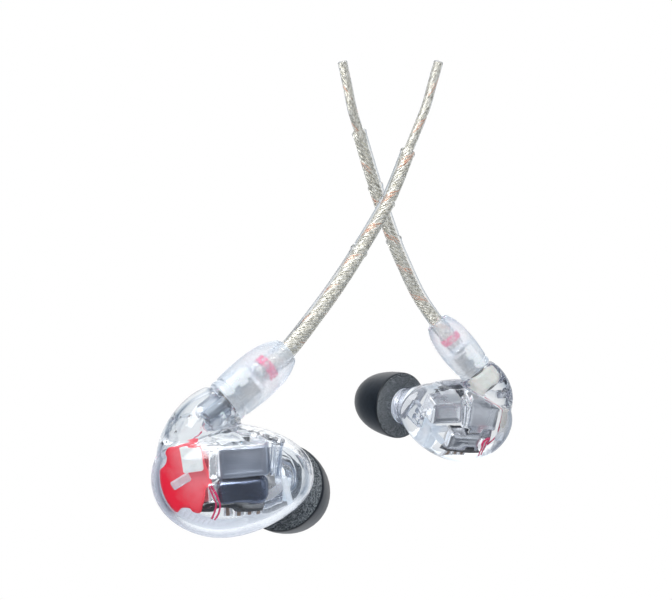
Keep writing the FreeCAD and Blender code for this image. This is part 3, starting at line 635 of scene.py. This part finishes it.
def ovals(rows, loop=False):
    """Shape through ovals across the plug: half sizes, roundness and distance along it."""
    verts = []
    for half_x, half_y, power, along in rows:
        for angle in np.linspace(0, 2 * math.pi, OVAL_SIDES, endpoint=False):
            c, s = math.cos(angle), math.sin(angle)
            reach = (abs(c / half_x) ** power + abs(s / half_y) ** power) ** (-1 / power)
            verts.append(by_plug(c * reach, s * reach, along))
    return verts, ring_faces(len(rows), OVAL_SIDES, loop=loop)


BOOT_LENGTH, BOOT_GAP = 11.7, 0.3
BOOT_HALF_DEPTH, BOOT_HALF_WIDTH, BOOT_ROUNDNESS = 2.75, 3.2, 2.25
# Share of the boot's length, and scale of its oval there.
BOOT_STATIONS = [(0.0, 0.90), (0.012, 0.945), (0.05, 0.965), (0.085, 0.925), (0.10, 0.925),
                 (0.13, 0.985), (0.25, 1.02), (0.38, 1.05), (0.50, 1.05), (0.62, 1.03),
                 (0.72, 0.985), (0.80, 0.92), (0.88, 0.82), (0.94, 0.72), (0.975, 0.66),
                 (0.992, 0.60), (1.0, 0.53)]


BOOT_BORE = [(1.36, 1.36, 2, 11.66), (1.33, 1.33, 2, 11.4), (1.33, 1.33, 2, 5.62),
             (1.4, 1.4, 2, 5.5), (1.66, 1.86, 12, 5.44), (1.67, 1.87, 12, 5.3),
             (1.67, 1.87, 12, 0.36)]
MARK_START, MARK_LENGTH = 7.0, 1.25
MARK_PROFILE = [(1.34, 0.0), (1.46, 0.0), (1.50, 0.1), (1.50, 0.9), (1.46, 1.0), (1.34, 1.0)]
# The liner's outline (sideways, along the plug), its middle, and its layers (earwards, shrink).
LINER_OUTLINE = [(1.95, 0.5), (1.95, 4.7), (1.2, 5.1), (0.5, 4.9), (0.45, 4.2), (0.1, 4.0),
                 (0.15, 2.9), (0.55, 2.7), (0.5, 1.9), (0.2, 1.7), (0.3, 0.9), (0.9, 0.5)]
LINER_MIDDLE = (1.0, 2.7)
LINER_LAYERS = [(-1.71, 0.0), (-1.80, 0.0), (-1.86, 0.12)]


def plug_liner():
    """White moulding over the outer half of the plug body, notched at its edges."""
    outline = smooth_line(LINER_OUTLINE + LINER_OUTLINE[:1], 4)[:-1]
    verts = []
    for depth, shrink in LINER_LAYERS:
        for y, along in outline + (np.array(LINER_MIDDLE) - outline) * shrink:
            verts.append(by_plug(depth, y, along))
    return verts, ring_faces(len(LINER_LAYERS), len(outline), (True, True))


def make_boot(side):
    """Soft bullet-shaped boot with a lip and groove at its base, bored for plug and cable."""
    rows = [(BOOT_HALF_DEPTH * scale, BOOT_HALF_WIDTH * scale, BOOT_ROUNDNESS,
             BOOT_GAP + share * (BOOT_LENGTH - BOOT_GAP))
            for share, scale in smooth_line(BOOT_STATIONS, 5)]
    side_piece(side, "boot_skin", ovals(rows + BOOT_BORE, loop=True), "boot", "cable",
               stands_for=["boot"])
    side_piece(side, "plug_liner", plug_liner(), "white", "cable")
    band = [(half, half, 2, MARK_START + share * MARK_LENGTH) for half, share in MARK_PROFILE]
    side_piece(side, "side_mark", ovals(band, loop=True), "ink", "cable",
               stands_for=["channel_band"])


# ------------------------------------------------------------------ what is inside the shells


# Each can is its lengths, middle, corner radius and tilt about y in degrees.  A plate is its
# lengths, middle and number of folds, and the patch and the clip are lengths, middle and tilt.
# The film's outline is in (x, z), and a wire is a run of points.
LAYOUTS = {
    "left": {
        "bass": ((6.4, 3.1, 4.1), (1.45, -1.4, 2.8), 0.5, -4.0),
        "second_bass": ((6.6, 3.1, 3.4), (1.15, -1.4, -1.15), 1.1, -4.0),
        "mid": ((5.3, 2.6, 4.3), (-4.9, 0.25, 1.9), 0.5, 0.0),
        "treble": ((4.0, 2.2, 2.6), (-4.75, 0.1, -2.0), 0.4, 0.0),
        "plates": [((1.25, 1.3, 4.0), (-2.25, -2.3, 2.6), 5),
                   ((1.2, 1.4, 2.7), (-2.55, -2.3, -1.35), 1)],
        "patch": ((2.6, 0.3, 3.3), (-5.1, -2.85, 3.1), -8.0),
        "clip": ((2.6, 0.7, 1.15), (-6.5, -2.85, 0.3), -30.0),
        "film": [(-9.7, 1.5), (-8.6, 2.4), (-8.3, 4.2), (-7.6, 4.9), (-6.0, 5.5), (-4.9, 5.6),
                 (-4.1, 5.0), (-3.5, 2.6), (-2.6, -0.2), (-3.6, -0.8), (-3.9, -3.6),
                 (-5.0, -3.8), (-5.5, -3.3), (-6.6, -3.4), (-7.5, -4.1), (-8.7, -2.6),
                 (-9.5, -0.4)],
        "film_centre": (-6.0, 0.6),
        "wires": [
            [(-2.95, -2.95, -0.3), (-2.3, -3.35, -1.4), (-2.0, -3.4, -3.0), (-2.5, -3.0, -4.4)],
            [(-2.6, -3.05, -0.2), (-1.65, -3.5, -1.6), (-1.45, -3.5, -3.2), (-2.1, -3.1, -4.5)],
            [(-4.3, -0.9, 6.3), (-5.6, 1.3, 4.9), (-5.5, 2.1, 3.0), (-4.5, 2.1, -1.0),
             (-2.6, 1.5, -3.6)],
        ],
    },
    "right": {
        "bass": ((5.4, 3.2, 3.7), (3.75, -1.2, 2.5), 0.45, 8.0),
        "second_bass": ((6.0, 3.1, 2.8), (-0.9, -1.4, -2.05), 0.6, 0.0),
        "mid": ((5.4, 2.7, 4.3), (-3.6, -0.15, 1.75), 0.5, 0.0),
        "treble": ((3.8, 2.0, 2.4), (-4.6, 1.75, -2.05), 0.4, 0.0),
        "plates": [((1.1, 1.3, 3.8), (0.0, -2.05, 2.0), 5),
                   ((0.7, 1.4, 2.0), (-4.55, -2.4, -2.3), 1)],
        "patch": ((1.0, 0.3, 3.2), (-7.3, -2.15, 2.2), 0.0),
        "clip": ((1.6, 0.3, 1.5), (-7.2, -2.15, -0.9), 0.0),
        "film": [(-9.5, 1.5), (-8.8, 3.2), (-7.9, 4.6), (-6.9, 5.0), (-6.5, 4.4), (-6.5, 0.5),
                 (-6.5, -3.2), (-7.4, -3.8), (-8.5, -3.0), (-9.4, -0.4)],
        "film_centre": (-7.8, 0.6),
        "wires": [
            [(-5.05, -3.15, -0.9), (-4.6, -3.45, -1.7), (-4.45, -3.4, -3.0),
             (-4.7, -2.9, -4.1)],
            [(-4.75, -3.2, -0.8), (-4.15, -3.45, -1.8), (-4.0, -3.4, -3.1),
             (-4.3, -2.95, -4.3)],
            [(-4.3, -0.9, 6.3), (-6.6, 0.9, 4.6), (-7.8, 1.0, 1.5), (-7.5, 0.6, -1.5),
             (-6.0, 0.2, -3.0)],
        ],
    },
}
CAN_LOOKS = {"left": ("slate", "navy", "steel"), "right": ("bright", "steel", "steel")}


FOLD_SWELL, FOLD_SHIFT, FOLD_SWAY = 0.16, 0.10, 0.10


def can(block, **edges):
    lengths, centre, corner, tilt = block
    return pressed_can(lengths, centre, corner, can_profile(lengths[1], **edges), tilt)


def make_drivers(side):
    """The four driver cans and the crumpled plates at their ends."""
    layout = LAYOUTS[side]
    bass_look, second_look, small_look = CAN_LOOKS[side]
    bass = can(layout["bass"], round_edge=0.42, ridge=0.05, panel=0.62, emboss=0.05)
    second = can(layout["second_bass"], round_edge=0.85, ridge=0.05, panel=1.2, emboss=0.03)
    small = join_meshes([can(layout["mid"], round_edge=0.3, panel=0.35, emboss=-0.06),
                         can(layout["treble"], round_edge=0.25)])
    side_piece(side, "bass_can", bass, bass_look, sharp=50, stands_for=["bass_driver"])
    side_piece(side, "second_bass_can", second, second_look, sharp=50,
               stands_for=["second_bass_driver"])
    side_piece(side, "mid_treble_cans", small, small_look, sharp=50,
               stands_for=["mid_treble_drivers"])
    plates = []
    for lengths, centre, folds in layout["plates"]:
        profile = can_profile(lengths[1], round_edge=0.2, ridge=0.02, panel=0.2)
        verts, faces = pressed_can(lengths, centre, 0.2, profile)
        verts = np.array(verts)
        phase = (verts[:, 2] - centre[2]) / lengths[2] * math.pi * folds
        outer = verts[:, 1] < centre[1]
        if folds > 1:
            verts[outer, 1] += FOLD_SWELL * np.sin(phase[outer] * 2) + FOLD_SHIFT
            verts[outer, 0] += FOLD_SWAY * np.cos(phase[outer] * 1.4)
        plates.append((verts.tolist(), faces))
    side_piece(side, "end_plates", join_meshes(plates), "crumpled",
               stands_for=["driver_end_plates"])


FILM_RINGS, FILM_HUB, FILM_THICKNESS = 9, 0.15, 0.1


def film_depth(x, z):
    """y of the film: flat over the cans, falling back towards the shell's rim."""
    rim = max(0.0, math.hypot(x + 4.0, z * 0.9 - 0.4) - 3.2)
    return -2.35 + 0.075 * rim ** 2 + 0.10 * math.sin(1.3 * x + 0.8 * z)


def make_film(side):
    """Draped film cut to its outline, with a little thickness."""
    corners = LAYOUTS[side]["film"]
    outline = smooth_line(corners + corners[:1], 6)[:-1]
    centre = np.array(LAYOUTS[side]["film_centre"])
    verts, glow = [], []
    for ring in range(FILM_RINGS):
        share = (ring + FILM_HUB) / (FILM_RINGS - 1 + FILM_HUB)
        for x, z in centre + (outline - centre) * share:
            verts.append((x, film_depth(x, z), z))
            # Painted glow: paler towards the film's upper right and its middle, deeper towards its outline, as
            # where light comes back through it.
            lit = (x + 10.0) / 5.5 + (z + 3.5) / 9.0
            glow.append(max(0.0, min(1.0, 0.62 * lit - 0.28)) * (1.0 - 0.55 * share ** 4))
    shape = (verts, ring_faces(FILM_RINGS, len(outline), (True, False)))
    film = side_piece(side, "flex_film", shape, f"film_{side}", sharp=None,
                      stands_for=["flex_circuit"])
    mark(film, "glow", glow)
    solid = film.modifiers.new("thickness", "SOLIDIFY")
    solid.thickness, solid.offset = FILM_THICKNESS * MM, 0


def make_stiffeners(side):
    """Pale stiffening patch on the film and the small clip beside it."""
    lengths, centre, tilt = LAYOUTS[side]["patch"]
    patch = pressed_can(lengths, centre, 0.3, [(0.0, 0.45), (0.0, 0.1), (0.05, 0.0), (0.3, 0.0),
                                               (0.3, 0.45)], tilt)
    side_piece(side, "stiffening_patch", patch, "cream" if side == "right" else "white",
               stands_for=["flex_stiffeners"])
    lengths, centre, tilt = LAYOUTS[side]["clip"]
    depth = lengths[1]
    clip = pressed_can(lengths, centre, 0.25, [(0.0, 0.4), (0.0, 0.2), (depth * 0.3, 0.0),
                                               (depth * 0.7, 0.0), (depth, 0.3)], tilt)
    side_piece(side, "film_clip", clip, "frost")


FILTER_SIZE, FILTER_COUNT, FILTER_PITCH = (4.6, 0.16, 3.6), 4, 0.2


def make_filter_plates(side):
    """Stack of thin steel plates behind the cans."""
    profile = [(0.0, 0.9), (0.0, 0.05), (0.03, 0.0), (0.13, 0.0), (0.16, 0.05), (0.16, 0.9)]
    plates = [pressed_can(FILTER_SIZE, (-0.2, 2.4 + FILTER_PITCH * number, 0.9), 0.5, profile)
              for number in range(FILTER_COUNT)]
    side_piece(side, "filter_stack", join_meshes(plates), "slate" if side == "left" else "dull",
               stands_for=["filter_plates"])


# Clear mouldings beside the drivers: lengths, middle, tilt in degrees and look.
MOULDINGS = {
    "left": [((0.55, 2.0, 4.2), (5.15, -1.5, 3.0), 2.0, "inner_clear"),
             ((0.35, 2.2, 4.4), (6.05, -1.4, 3.0), 5.0, "inner_clear"),
             ((0.7, 0.8, 3.8), (7.1, -1.9, -1.2), -14.0, "frost"),
             ((2.3, 0.7, 0.9), (-2.5, -0.9, 8.4), 0.0, "white"),
             ((1.0, 0.9, 0.7), (-3.6, -1.0, 6.9), 25.0, "inner_clear")],
    "right": [((0.45, 1.8, 3.6), (0.45, -1.9, 2.3), 6.0, "inner_clear"),
              ((0.45, 1.8, 3.8), (-0.35, -1.9, 2.1), 4.0, "inner_clear"),
              ((2.7, 0.7, 0.75), (4.3, -2.2, -0.45), 14.0, "frost"),
              ((2.6, 0.7, 0.75), (4.0, -2.0, -1.75), -32.0, "frost"),
              ((1.5, 0.5, 1.6), (5.7, -1.2, 4.7), 30.0, "inner_clear"),
              ((0.7, 0.8, 1.2), (-7.6, -1.9, 4.1), 20.0, "cream")],
}


def make_mouldings(side):
    """Small clear and milky ribs, slabs and clips that hold the drivers."""
    for wanted in sorted({look for *_, look in MOULDINGS[side]}):
        shapes = []
        for lengths, centre, tilt, look in MOULDINGS[side]:
            depth = lengths[1]
            profile = [(0.0, 0.25), (0.0, 0.08), (0.06, 0.0), (depth * 0.5, -0.03),
                       (depth - 0.06, 0.0), (depth, 0.08), (depth, 0.25)]
            if look == wanted:
                shapes.append(pressed_can(lengths, centre, 0.22, profile, tilt))
        side_piece(side, wanted + "_mouldings", join_meshes(shapes), wanted)


BOARD_HEIGHT, BOARD_DEPTH, BOARD_THICKNESS = -3.75, 2.6, 0.35
CHIP_HEIGHT, CHIP_WIDTH, CHIP_DEPTH, CHIP_REACH = -4.19, 0.55, 0.9, -1.0
END_WIDTH, END_DEPTH, END_SHIFT, WIRE_RADIUS = 0.36, 0.94, 0.38, 0.13
# Each board is its width, its middle and the places of its chips.
BOARDS = {"left": (8.4, -0.3, (-0.7, 0.7, 2.1, 3.3)), "right": (6.0, -1.5, (0.85, -0.35, -1.55))}


def make_board(side):
    """Crossover board, its chips and their tinned ends."""
    width, middle, chips = BOARDS[side]
    board = pressed_can((width, BOARD_DEPTH, BOARD_THICKNESS), (middle, -0.4, BOARD_HEIGHT), 0.1,
                        [(0.0, 0.15), (0.0, 0.02), (0.06, 0.0), (2.54, 0.0), (2.6, 0.03),
                         (2.6, 0.15)])
    side_piece(side, "crossover_board", board, "board", stands_for=["crossover"])
    bodies, ends = [], []
    for number, x in enumerate(chips):
        height = 0.58 + 0.10 * (number % 2)
        bodies.append(pressed_can((CHIP_WIDTH, CHIP_DEPTH, height), (x, CHIP_REACH, CHIP_HEIGHT),
                                  0.06, [(0.0, 0.12), (0.04, 0.0), (0.86, 0.0), (0.9, 0.1)]))
        for shift in (-END_SHIFT, END_SHIFT):
            ends.append(pressed_can((END_WIDTH, END_DEPTH, height + 0.12),
                                    (x + shift, CHIP_REACH, CHIP_HEIGHT), 0.12,
                                    [(0.0, 0.10), (0.08, 0.0), (0.86, 0.0), (0.94, 0.10)]))
    side_piece(side, "chip_bodies", join_meshes(bodies), "chip")
    side_piece(side, "chip_ends", join_meshes(ends), "solder")


def make_wires(side):
    runs = [tube(smooth_line(run, 14), WIRE_RADIUS, 10) for run in LAYOUTS[side]["wires"]]
    side_piece(side, "hookup_wires", join_meshes(runs), "red_wire", sharp=None,
               stands_for=["hookup_wires"])


# ------------------------------------------------------------------ shells


def applied(piece):
    """Replaces the piece's mesh by what its modifiers make of it."""
    bpy.context.view_layer.update()
    graph = bpy.context.evaluated_depsgraph_get()
    mesh = bpy.data.meshes.new_from_object(piece.evaluated_get(graph))
    piece.modifiers.clear()
    piece.data = mesh
    return piece


CAST_VOXEL, EASE_STEPS = 0.17, 20
RIM_SIDE, RIM_SLOTS = math.radians(-118), 72
SOLID_SHELLS = ("right",)
# Plugs that close the neck and the nozzle seat: point, axis, radius, start and end along it.
SHELL_PLUGS = [(SOCKET, PLUG_AXIS, 2.6, -2.6, -0.3), (NOZZLE_BASE, NOZZLE_AXIS, 3.4, 3.4, 7.0)]


def shell_marks(side, co):
    """Where the shell is wavy (the neck and, faintly, the nozzle's end of the shell) and where its thick rim
    carries a milky band (its outermost part), painted strongest below, where the rim shows a band under the light."""
    back = np.linalg.inv(np.array(PLACE[side]))
    local = co @ back[:3, :3].T + back[:3, 3]
    x, z = local[:, 0], local[:, 2]
    wavy = np.clip((z - 5.0) / 0.8, 0, 1) * np.clip((8.6 - z) / 1.2, 0, 1)
    wavy = np.maximum(wavy, 0.12 * np.clip((x - 5.2) / 2.0, 0, 1))
    reach, turn = np.hypot(x, z), np.arctan2(z, x)
    slot = ((turn + math.pi) / (2 * math.pi) * RIM_SLOTS).astype(int) % RIM_SLOTS
    widest = np.array([reach[slot == k].max() if (slot == k).any() else 1.0
                       for k in range(RIM_SLOTS)])
    share = reach / widest[slot]
    # Painted strongest towards the lower side, where the rim shows a band under the light.
    low = 0.10 + 0.90 * np.clip(np.cos(turn - RIM_SIDE), 0, 1) ** 0.7
    rim = np.clip((share - 0.875) / 0.07, 0, 1) * low * np.clip((7.5 - z) / 3.0, 0, 1)
    return wavy, rim


def outer_skin(mesh):
    """Keeps only the largest connected surface of a mesh."""
    edges = np.empty(len(mesh.edges) * 2, np.int32)
    mesh.edges.foreach_get("vertices", edges)
    first, second = edges[0::2], edges[1::2]
    label = np.arange(len(mesh.vertices))
    while True:
        low = np.minimum(label[first], label[second])
        fresh = label.copy()
        np.minimum.at(fresh, first, low)
        np.minimum.at(fresh, second, low)
        fresh = fresh[fresh]
        if (fresh == label).all():
            break
        label = fresh
    kept = label == np.bincount(label).argmax()
    number = np.cumsum(kept) - 1
    verts = [tuple(v.co) for v, keep in zip(mesh.vertices, kept) if keep]
    faces = [tuple(number[i] for i in f.vertices) for f in mesh.polygons if kept[f.vertices[0]]]
    return verts, faces


def make_shell(side):
    """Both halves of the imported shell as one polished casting, its inside corners eased.

    The right shell is shown cast solid round its drivers, which then look larger from outside."""
    parts = []
    for key in ("outer_shell", "inner_shell"):
        mesh = frame["nodes"][f"{side}_{key}"].data
        parts.append(([tuple(v.co) for v in mesh.vertices],
                      [tuple(f.vertices) for f in mesh.polygons]))
    if side in SOLID_SHELLS:
        for point, axis, radius, start, end in SHELL_PLUGS:
            plug = lathe([(0.01, start), (radius, start), (radius, end), (0.01, end)], point,
                         axis, 48)
            parts.append(place_shape(*plug, PLACE[side]))
    name, look = f"{side}_shell", LOOKS[f"{side}_shell"]
    shell = make_piece(name, *join_meshes(parts), None, look)
    remesh = shell.modifiers.new("cast", "REMESH")
    remesh.mode, remesh.voxel_size, remesh.use_smooth_shade = "VOXEL", CAST_VOXEL * MM, True
    ease = shell.modifiers.new("ease", "SMOOTH")
    ease.factor, ease.iterations = 0.5, EASE_STEPS
    applied(shell)
    if side in SOLID_SHELLS:
        skin = outer_skin(shell.data)
        bpy.data.objects.remove(shell)
        shell = make_piece(name, *skin, None, look)
    co = np.empty(len(shell.data.vertices) * 3, np.float32)
    shell.data.vertices.foreach_get("co", co)
    for key, values in zip(("wavy", "rim"), shell_marks(side, co.reshape(-1, 3).astype(float))):
        mark(shell, key, values)
    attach(shell, f"{side}_earphone")
    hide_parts(f"{side}_outer_shell", f"{side}_inner_shell")


# ------------------------------------------------------------------ cables

CABLE_RUNS = {
    "left": [(-20.3, -12.3, -41.7), (-16.7, -8.6, -36.7), (-12.96, -5.0, -30.8),
             (-8.37, -2.0, -22.8), (-4.96, -0.7, -14.5)],
    "right": [(-1.94, 12.6, -37.7), (-4.88, 10.0, -32.1), (-6.80, 8.0, -28.0),
              (-10.15, 4.6, -19.2), (-12.99, 1.8, -10.7)],
}
# Which points of a run the jacket steps down at; the cable's joint is at the second of them.
STEP, BEND, SLEEVE_TOP = 2, 3, 4
CABLE_START, LEAD_STRAIGHT, BEND_REACH = 6.1, 8.0, 3.5
BOOT_RADIUS, MIDDLE_RADIUS, UPPER_RADIUS, LEAD_RADIUS = 1.30, 1.24, 1.18, 0.79
GROOVE_DEPTH, GROOVE_WIDTH = 0.16, 0.15
LAY_LENGTH, STRANDS, COPPER_STRANDS, LEAN = 6.2, 14, 3, 0.20
HOOK_BUNDLE, LEAD_BUNDLE = 0.80, 0.52


def cable_path(side, count=420):
    """Centre line from inside the boot to the lead's cut end, in mm, and marks along it."""
    socket = Vector(joints[side + "_swivel"]["pos_m"]) / MM
    plug = Vector(joints[side + "_swivel"]["axis"])
    mount = mounts[side + "_lead_end"]
    end, direction = Vector(mount["pos_m"]) / MM, Vector(mount["axis"])
    points = [socket + plug * (CABLE_START + 0.02), socket + plug * 8.5,
              socket + plug * (BOOT_LENGTH + 0.3)]
    points += [Vector(p) for p in CABLE_RUNS[side]]
    points += [end - direction * LEAD_STRAIGHT, end - direction * LEAD_STRAIGHT / 2,
               end - direction * 0.02]
    dense = smooth_line([tuple(p) for p in points], 40)
    lengths = np.concatenate([[0], np.cumsum(np.linalg.norm(np.diff(dense, axis=0), axis=1))])
    even = np.linspace(0, lengths[-1], count)
    path = np.stack([np.interp(even, lengths, dense[:, k]) for k in range(3)], 1)
    marks = []
    for point in CABLE_RUNS[side]:
        nearest = np.argmin(np.linalg.norm(dense - np.array(point), axis=1))
        marks.append(lengths[nearest])
    return path, even, marks


def cable_piece(side, key, shape, look, stands_for=()):
    """Piece along a cable, made in the imported frame."""
    verts, faces = shape
    piece = make_piece(f"{side}_{key}", np.array(verts) * MM, faces, None, LOOKS[look])
    if stands_for:
        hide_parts(*[f"{side}_{node}" for node in stands_for])
    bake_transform(piece)


def eased(values, width):
    """The values averaged over an odd number of neighbours."""
    padded = np.pad(values, width // 2, mode="edge")
    return np.convolve(padded, np.ones(width) / width, mode="valid")


def make_jacket(side, run):
    """Clear jacket that steps down at the sleeves, with a raised ring and a groove at each."""
    path, even, marks = run
    step, bend, top = marks[STEP], marks[BEND], marks[SLEEVE_TOP]
    radius = np.select([even > top, even > bend, even > step],
                       [LEAD_RADIUS, UPPER_RADIUS, MIDDLE_RADIUS], BOOT_RADIUS)
    for place, width, lift in ((step, 0.40, 0.14), (bend, 0.36, 0.14), (top, 0.45, 0.08)):
        radius = radius + lift * np.exp(-((even - place + 0.35) / width) ** 4)
    for place in (step, bend, top):
        radius = radius - GROOVE_DEPTH * np.exp(-((even - place - 0.12) / GROOVE_WIDTH) ** 2)
    cable_piece(side, "cable_skin", tube(path, eased(radius, 3), 32), "jacket",
                ["cable_jacket", "middle_sleeve", "upper_sleeve", "lead_jacket"])


def make_strands(side, run):
    """Two layers of twisted litz, lying to one side of the jacket below the sleeves."""
    path, even, marks = run
    top = marks[SLEEVE_TOP]
    tangent, first, second = frames_along(path)
    hand = 1 if side == "left" else -1
    aside = np.cross(tangent, (0.0, 1.0, 0.0)) * -hand
    aside /= np.linalg.norm(aside, axis=1)[:, None]
    lean = eased(np.where((even > 8.0) & (even < top - 1.0), LEAN, 0.0), 25)
    middle = path + aside * lean[:, None]
    bundle = eased(np.where(even > top, LEAD_BUNDLE, HOOK_BUNDLE), 9)
    inside = slice(2, -1)
    parts = {"silver": [], "copper": []}
    for strand in range(STRANDS + COPPER_STRANDS):
        copper = strand >= STRANDS
        turn = hand * 2 * math.pi * even / LAY_LENGTH + strand * 2 * math.pi / STRANDS
        turn = turn + 0.16 * np.sin(even * 1.9 + strand * 2.4)
        ring = bundle * (0.80 + 0.05 * np.sin(even * 2.3 + strand * 1.7))
        if copper:
            ring = bundle * (0.70 + 0.20 * np.sin(even * 0.93 + strand * 0.7))
        line = middle + (np.cos(turn) * ring)[:, None] * first
        line = line + (np.sin(turn) * ring)[:, None] * second
        part = tube(line[inside], (bundle * (0.16 if copper else 0.19))[inside], 8)
        parts["copper" if copper else "silver"].append(part)
    parts["silver"].append(tube(middle[inside], (bundle * 0.70)[inside], 20))
    stands_for = {"silver": ["cable_core", "lead_core"], "copper": []}
    for kind, members in parts.items():
        cable_piece(side, kind + "_strands", join_meshes(members), kind + "_strand",
                    stands_for[kind])


for side in SIDES:
    make_shell(side)
    make_foam(side)
    make_collar(side)
    make_boot(side)
    make_drivers(side)
    make_film(side)
    make_stiffeners(side)
    make_mouldings(side)
    make_filter_plates(side)
    make_board(side)
    make_wires(side)
    cable_run = cable_path(side)
    make_jacket(side, cable_run)
    make_strands(side, cable_run)


# ------------------------------------------------------------------ stage, light and camera

CENTRE = Vector((-16.71, 0.0, -38.79)) * MM
CAMERA_DISTANCE, LENS = 0.120, 39.44
FLOOR_HEIGHT, FLOOR_RADIUS = -0.150, 0.14
# What the object reflects, from straight behind the camera to straight behind the object.
WORLD_STOPS = [(0.0, (0.34, 0.36, 0.39)), (0.45, (0.06, 0.08, 0.11)), (0.72, (0.14, 0.18, 0.24)),
               (0.88, (0.62, 0.68, 0.75)), (0.965, (1.0, 1.0, 1.0))]
# Each lamp is its place from the centre, its width and height, its power and its colour.
LAMPS = {"key": ((-0.14, -0.20, 0.20), 0.16, 0.16, 0.52, (1, 1, 1)),
         "fill": ((0.22, -0.14, 0.04), 0.10, 0.22, 0.08, (0.93, 0.96, 1.0)),
         "back": ((0.05, 0.25, 0.15), 0.30, 0.20, 0.10, (1, 1, 1))}


def make_world():
    """White behind the object, blue-grey to the sides, bright above: a light-table studio."""
    world = bpy.data.worlds.new("studio")
    bpy.context.scene.world = world
    world.use_nodes = True
    nodes = Nodes(world.node_tree)
    direction = nodes.add("TexCoord").outputs["Generated"]
    turned = nodes.add("VectorTransform", {"Vector": direction}, vector_type="VECTOR",
                       convert_from="WORLD", convert_to="CAMERA").outputs[0]
    parts = nodes.add("SeparateXYZ", {0: turned})
    ahead = nodes.add("MapRange", {"Value": parts.outputs["Z"], "From Min": -1.0, "From Max": 1.0})
    around = nodes.ramp(ahead.outputs[0], WORLD_STOPS)
    above = nodes.levels(parts.outputs["Y"], 0.45, 0.85, 0.0, 0.8)
    glow = nodes.add("MixRGB", {"Fac": 1.0, "Color1": around, "Color2": above}, blend_type="ADD")
    seen = nodes.add("LightPath").outputs["Is Camera Ray"]
    colour = nodes.add("MixRGB", {"Fac": seen, "Color1": glow.outputs[0], "Color2": (1, 1, 1, 1)})
    light = nodes.add("Background", {"Color": colour.outputs[0]}).outputs[0]
    nodes.add("OutputWorld", {"Surface": light})


def make_floor():
    """Pale round floor well below the object, fading out at its rim."""
    look = Look("pale_floor")
    shade = look.ramp(look.noise(14.0, 3.0), [(0.3, (0.86, 0.87, 0.88)),
                                              (0.7, (0.90, 0.905, 0.91))])
    matt = look.principled(base_color=shade, roughness=0.7, emission_color=shade,
                           emission_strength=0.20)
    middle = (CENTRE.x / MM, 0, FLOOR_HEIGHT / MM)
    place = look.add("VectorMath", {0: look.mm, 1: middle}, operation="DISTANCE")
    fade = look.levels(place.outputs["Value"], 50.0, 130.0, 0.0, 1.0)
    look.surface(look.mix(fade, matt, look.clear()))
    angles = np.linspace(0, 2 * math.pi, 64, endpoint=False)
    verts = [(CENTRE.x + FLOOR_RADIUS * math.cos(a), FLOOR_RADIUS * math.sin(a), FLOOR_HEIGHT)
             for a in angles]
    make_piece("floor", verts, [tuple(range(64))], None, look.material)


def make_lamp(name, offset, width, height, power, colour):
    data = bpy.data.lights.new(name, "AREA")
    data.shape, data.size, data.size_y = "RECTANGLE", width, height
    data.energy, data.color = power, colour
    light = bpy.data.objects.new(name, data)
    light.location = CENTRE + Vector(offset)
    light.rotation_euler = (-Vector(offset)).to_track_quat("-Z", "Y").to_euler()
    bpy.context.scene.collection.objects.link(light)
    light.visible_camera = False


make_world()
make_floor()
for name, settings in LAMPS.items():
    make_lamp(name, *settings)

camera_data = bpy.data.cameras.new("camera")
camera_data.lens, camera_data.sensor_width = LENS, 36.0
camera_data.clip_start, camera_data.clip_end = 0.005, 5.0
camera = bpy.data.objects.new("camera", camera_data)
camera.location = CENTRE + Vector((0, -CAMERA_DISTANCE, 0))
camera.rotation_euler = (math.radians(90), 0, 0)
bpy.context.scene.collection.objects.link(camera)
scene = bpy.context.scene
scene.camera = camera
scene.view_settings.view_transform = "Standard"
scene.cycles.max_bounces = 24
scene.cycles.transmission_bounces = 20
scene.cycles.transparent_max_bounces = 32
scene.cycles.glossy_bounces = 6
scene.cycles.diffuse_bounces = 3
scene.cycles.caustics_refractive = True
scene.cycles.blur_glossy = 0.5

bpy.context.view_layer.update()
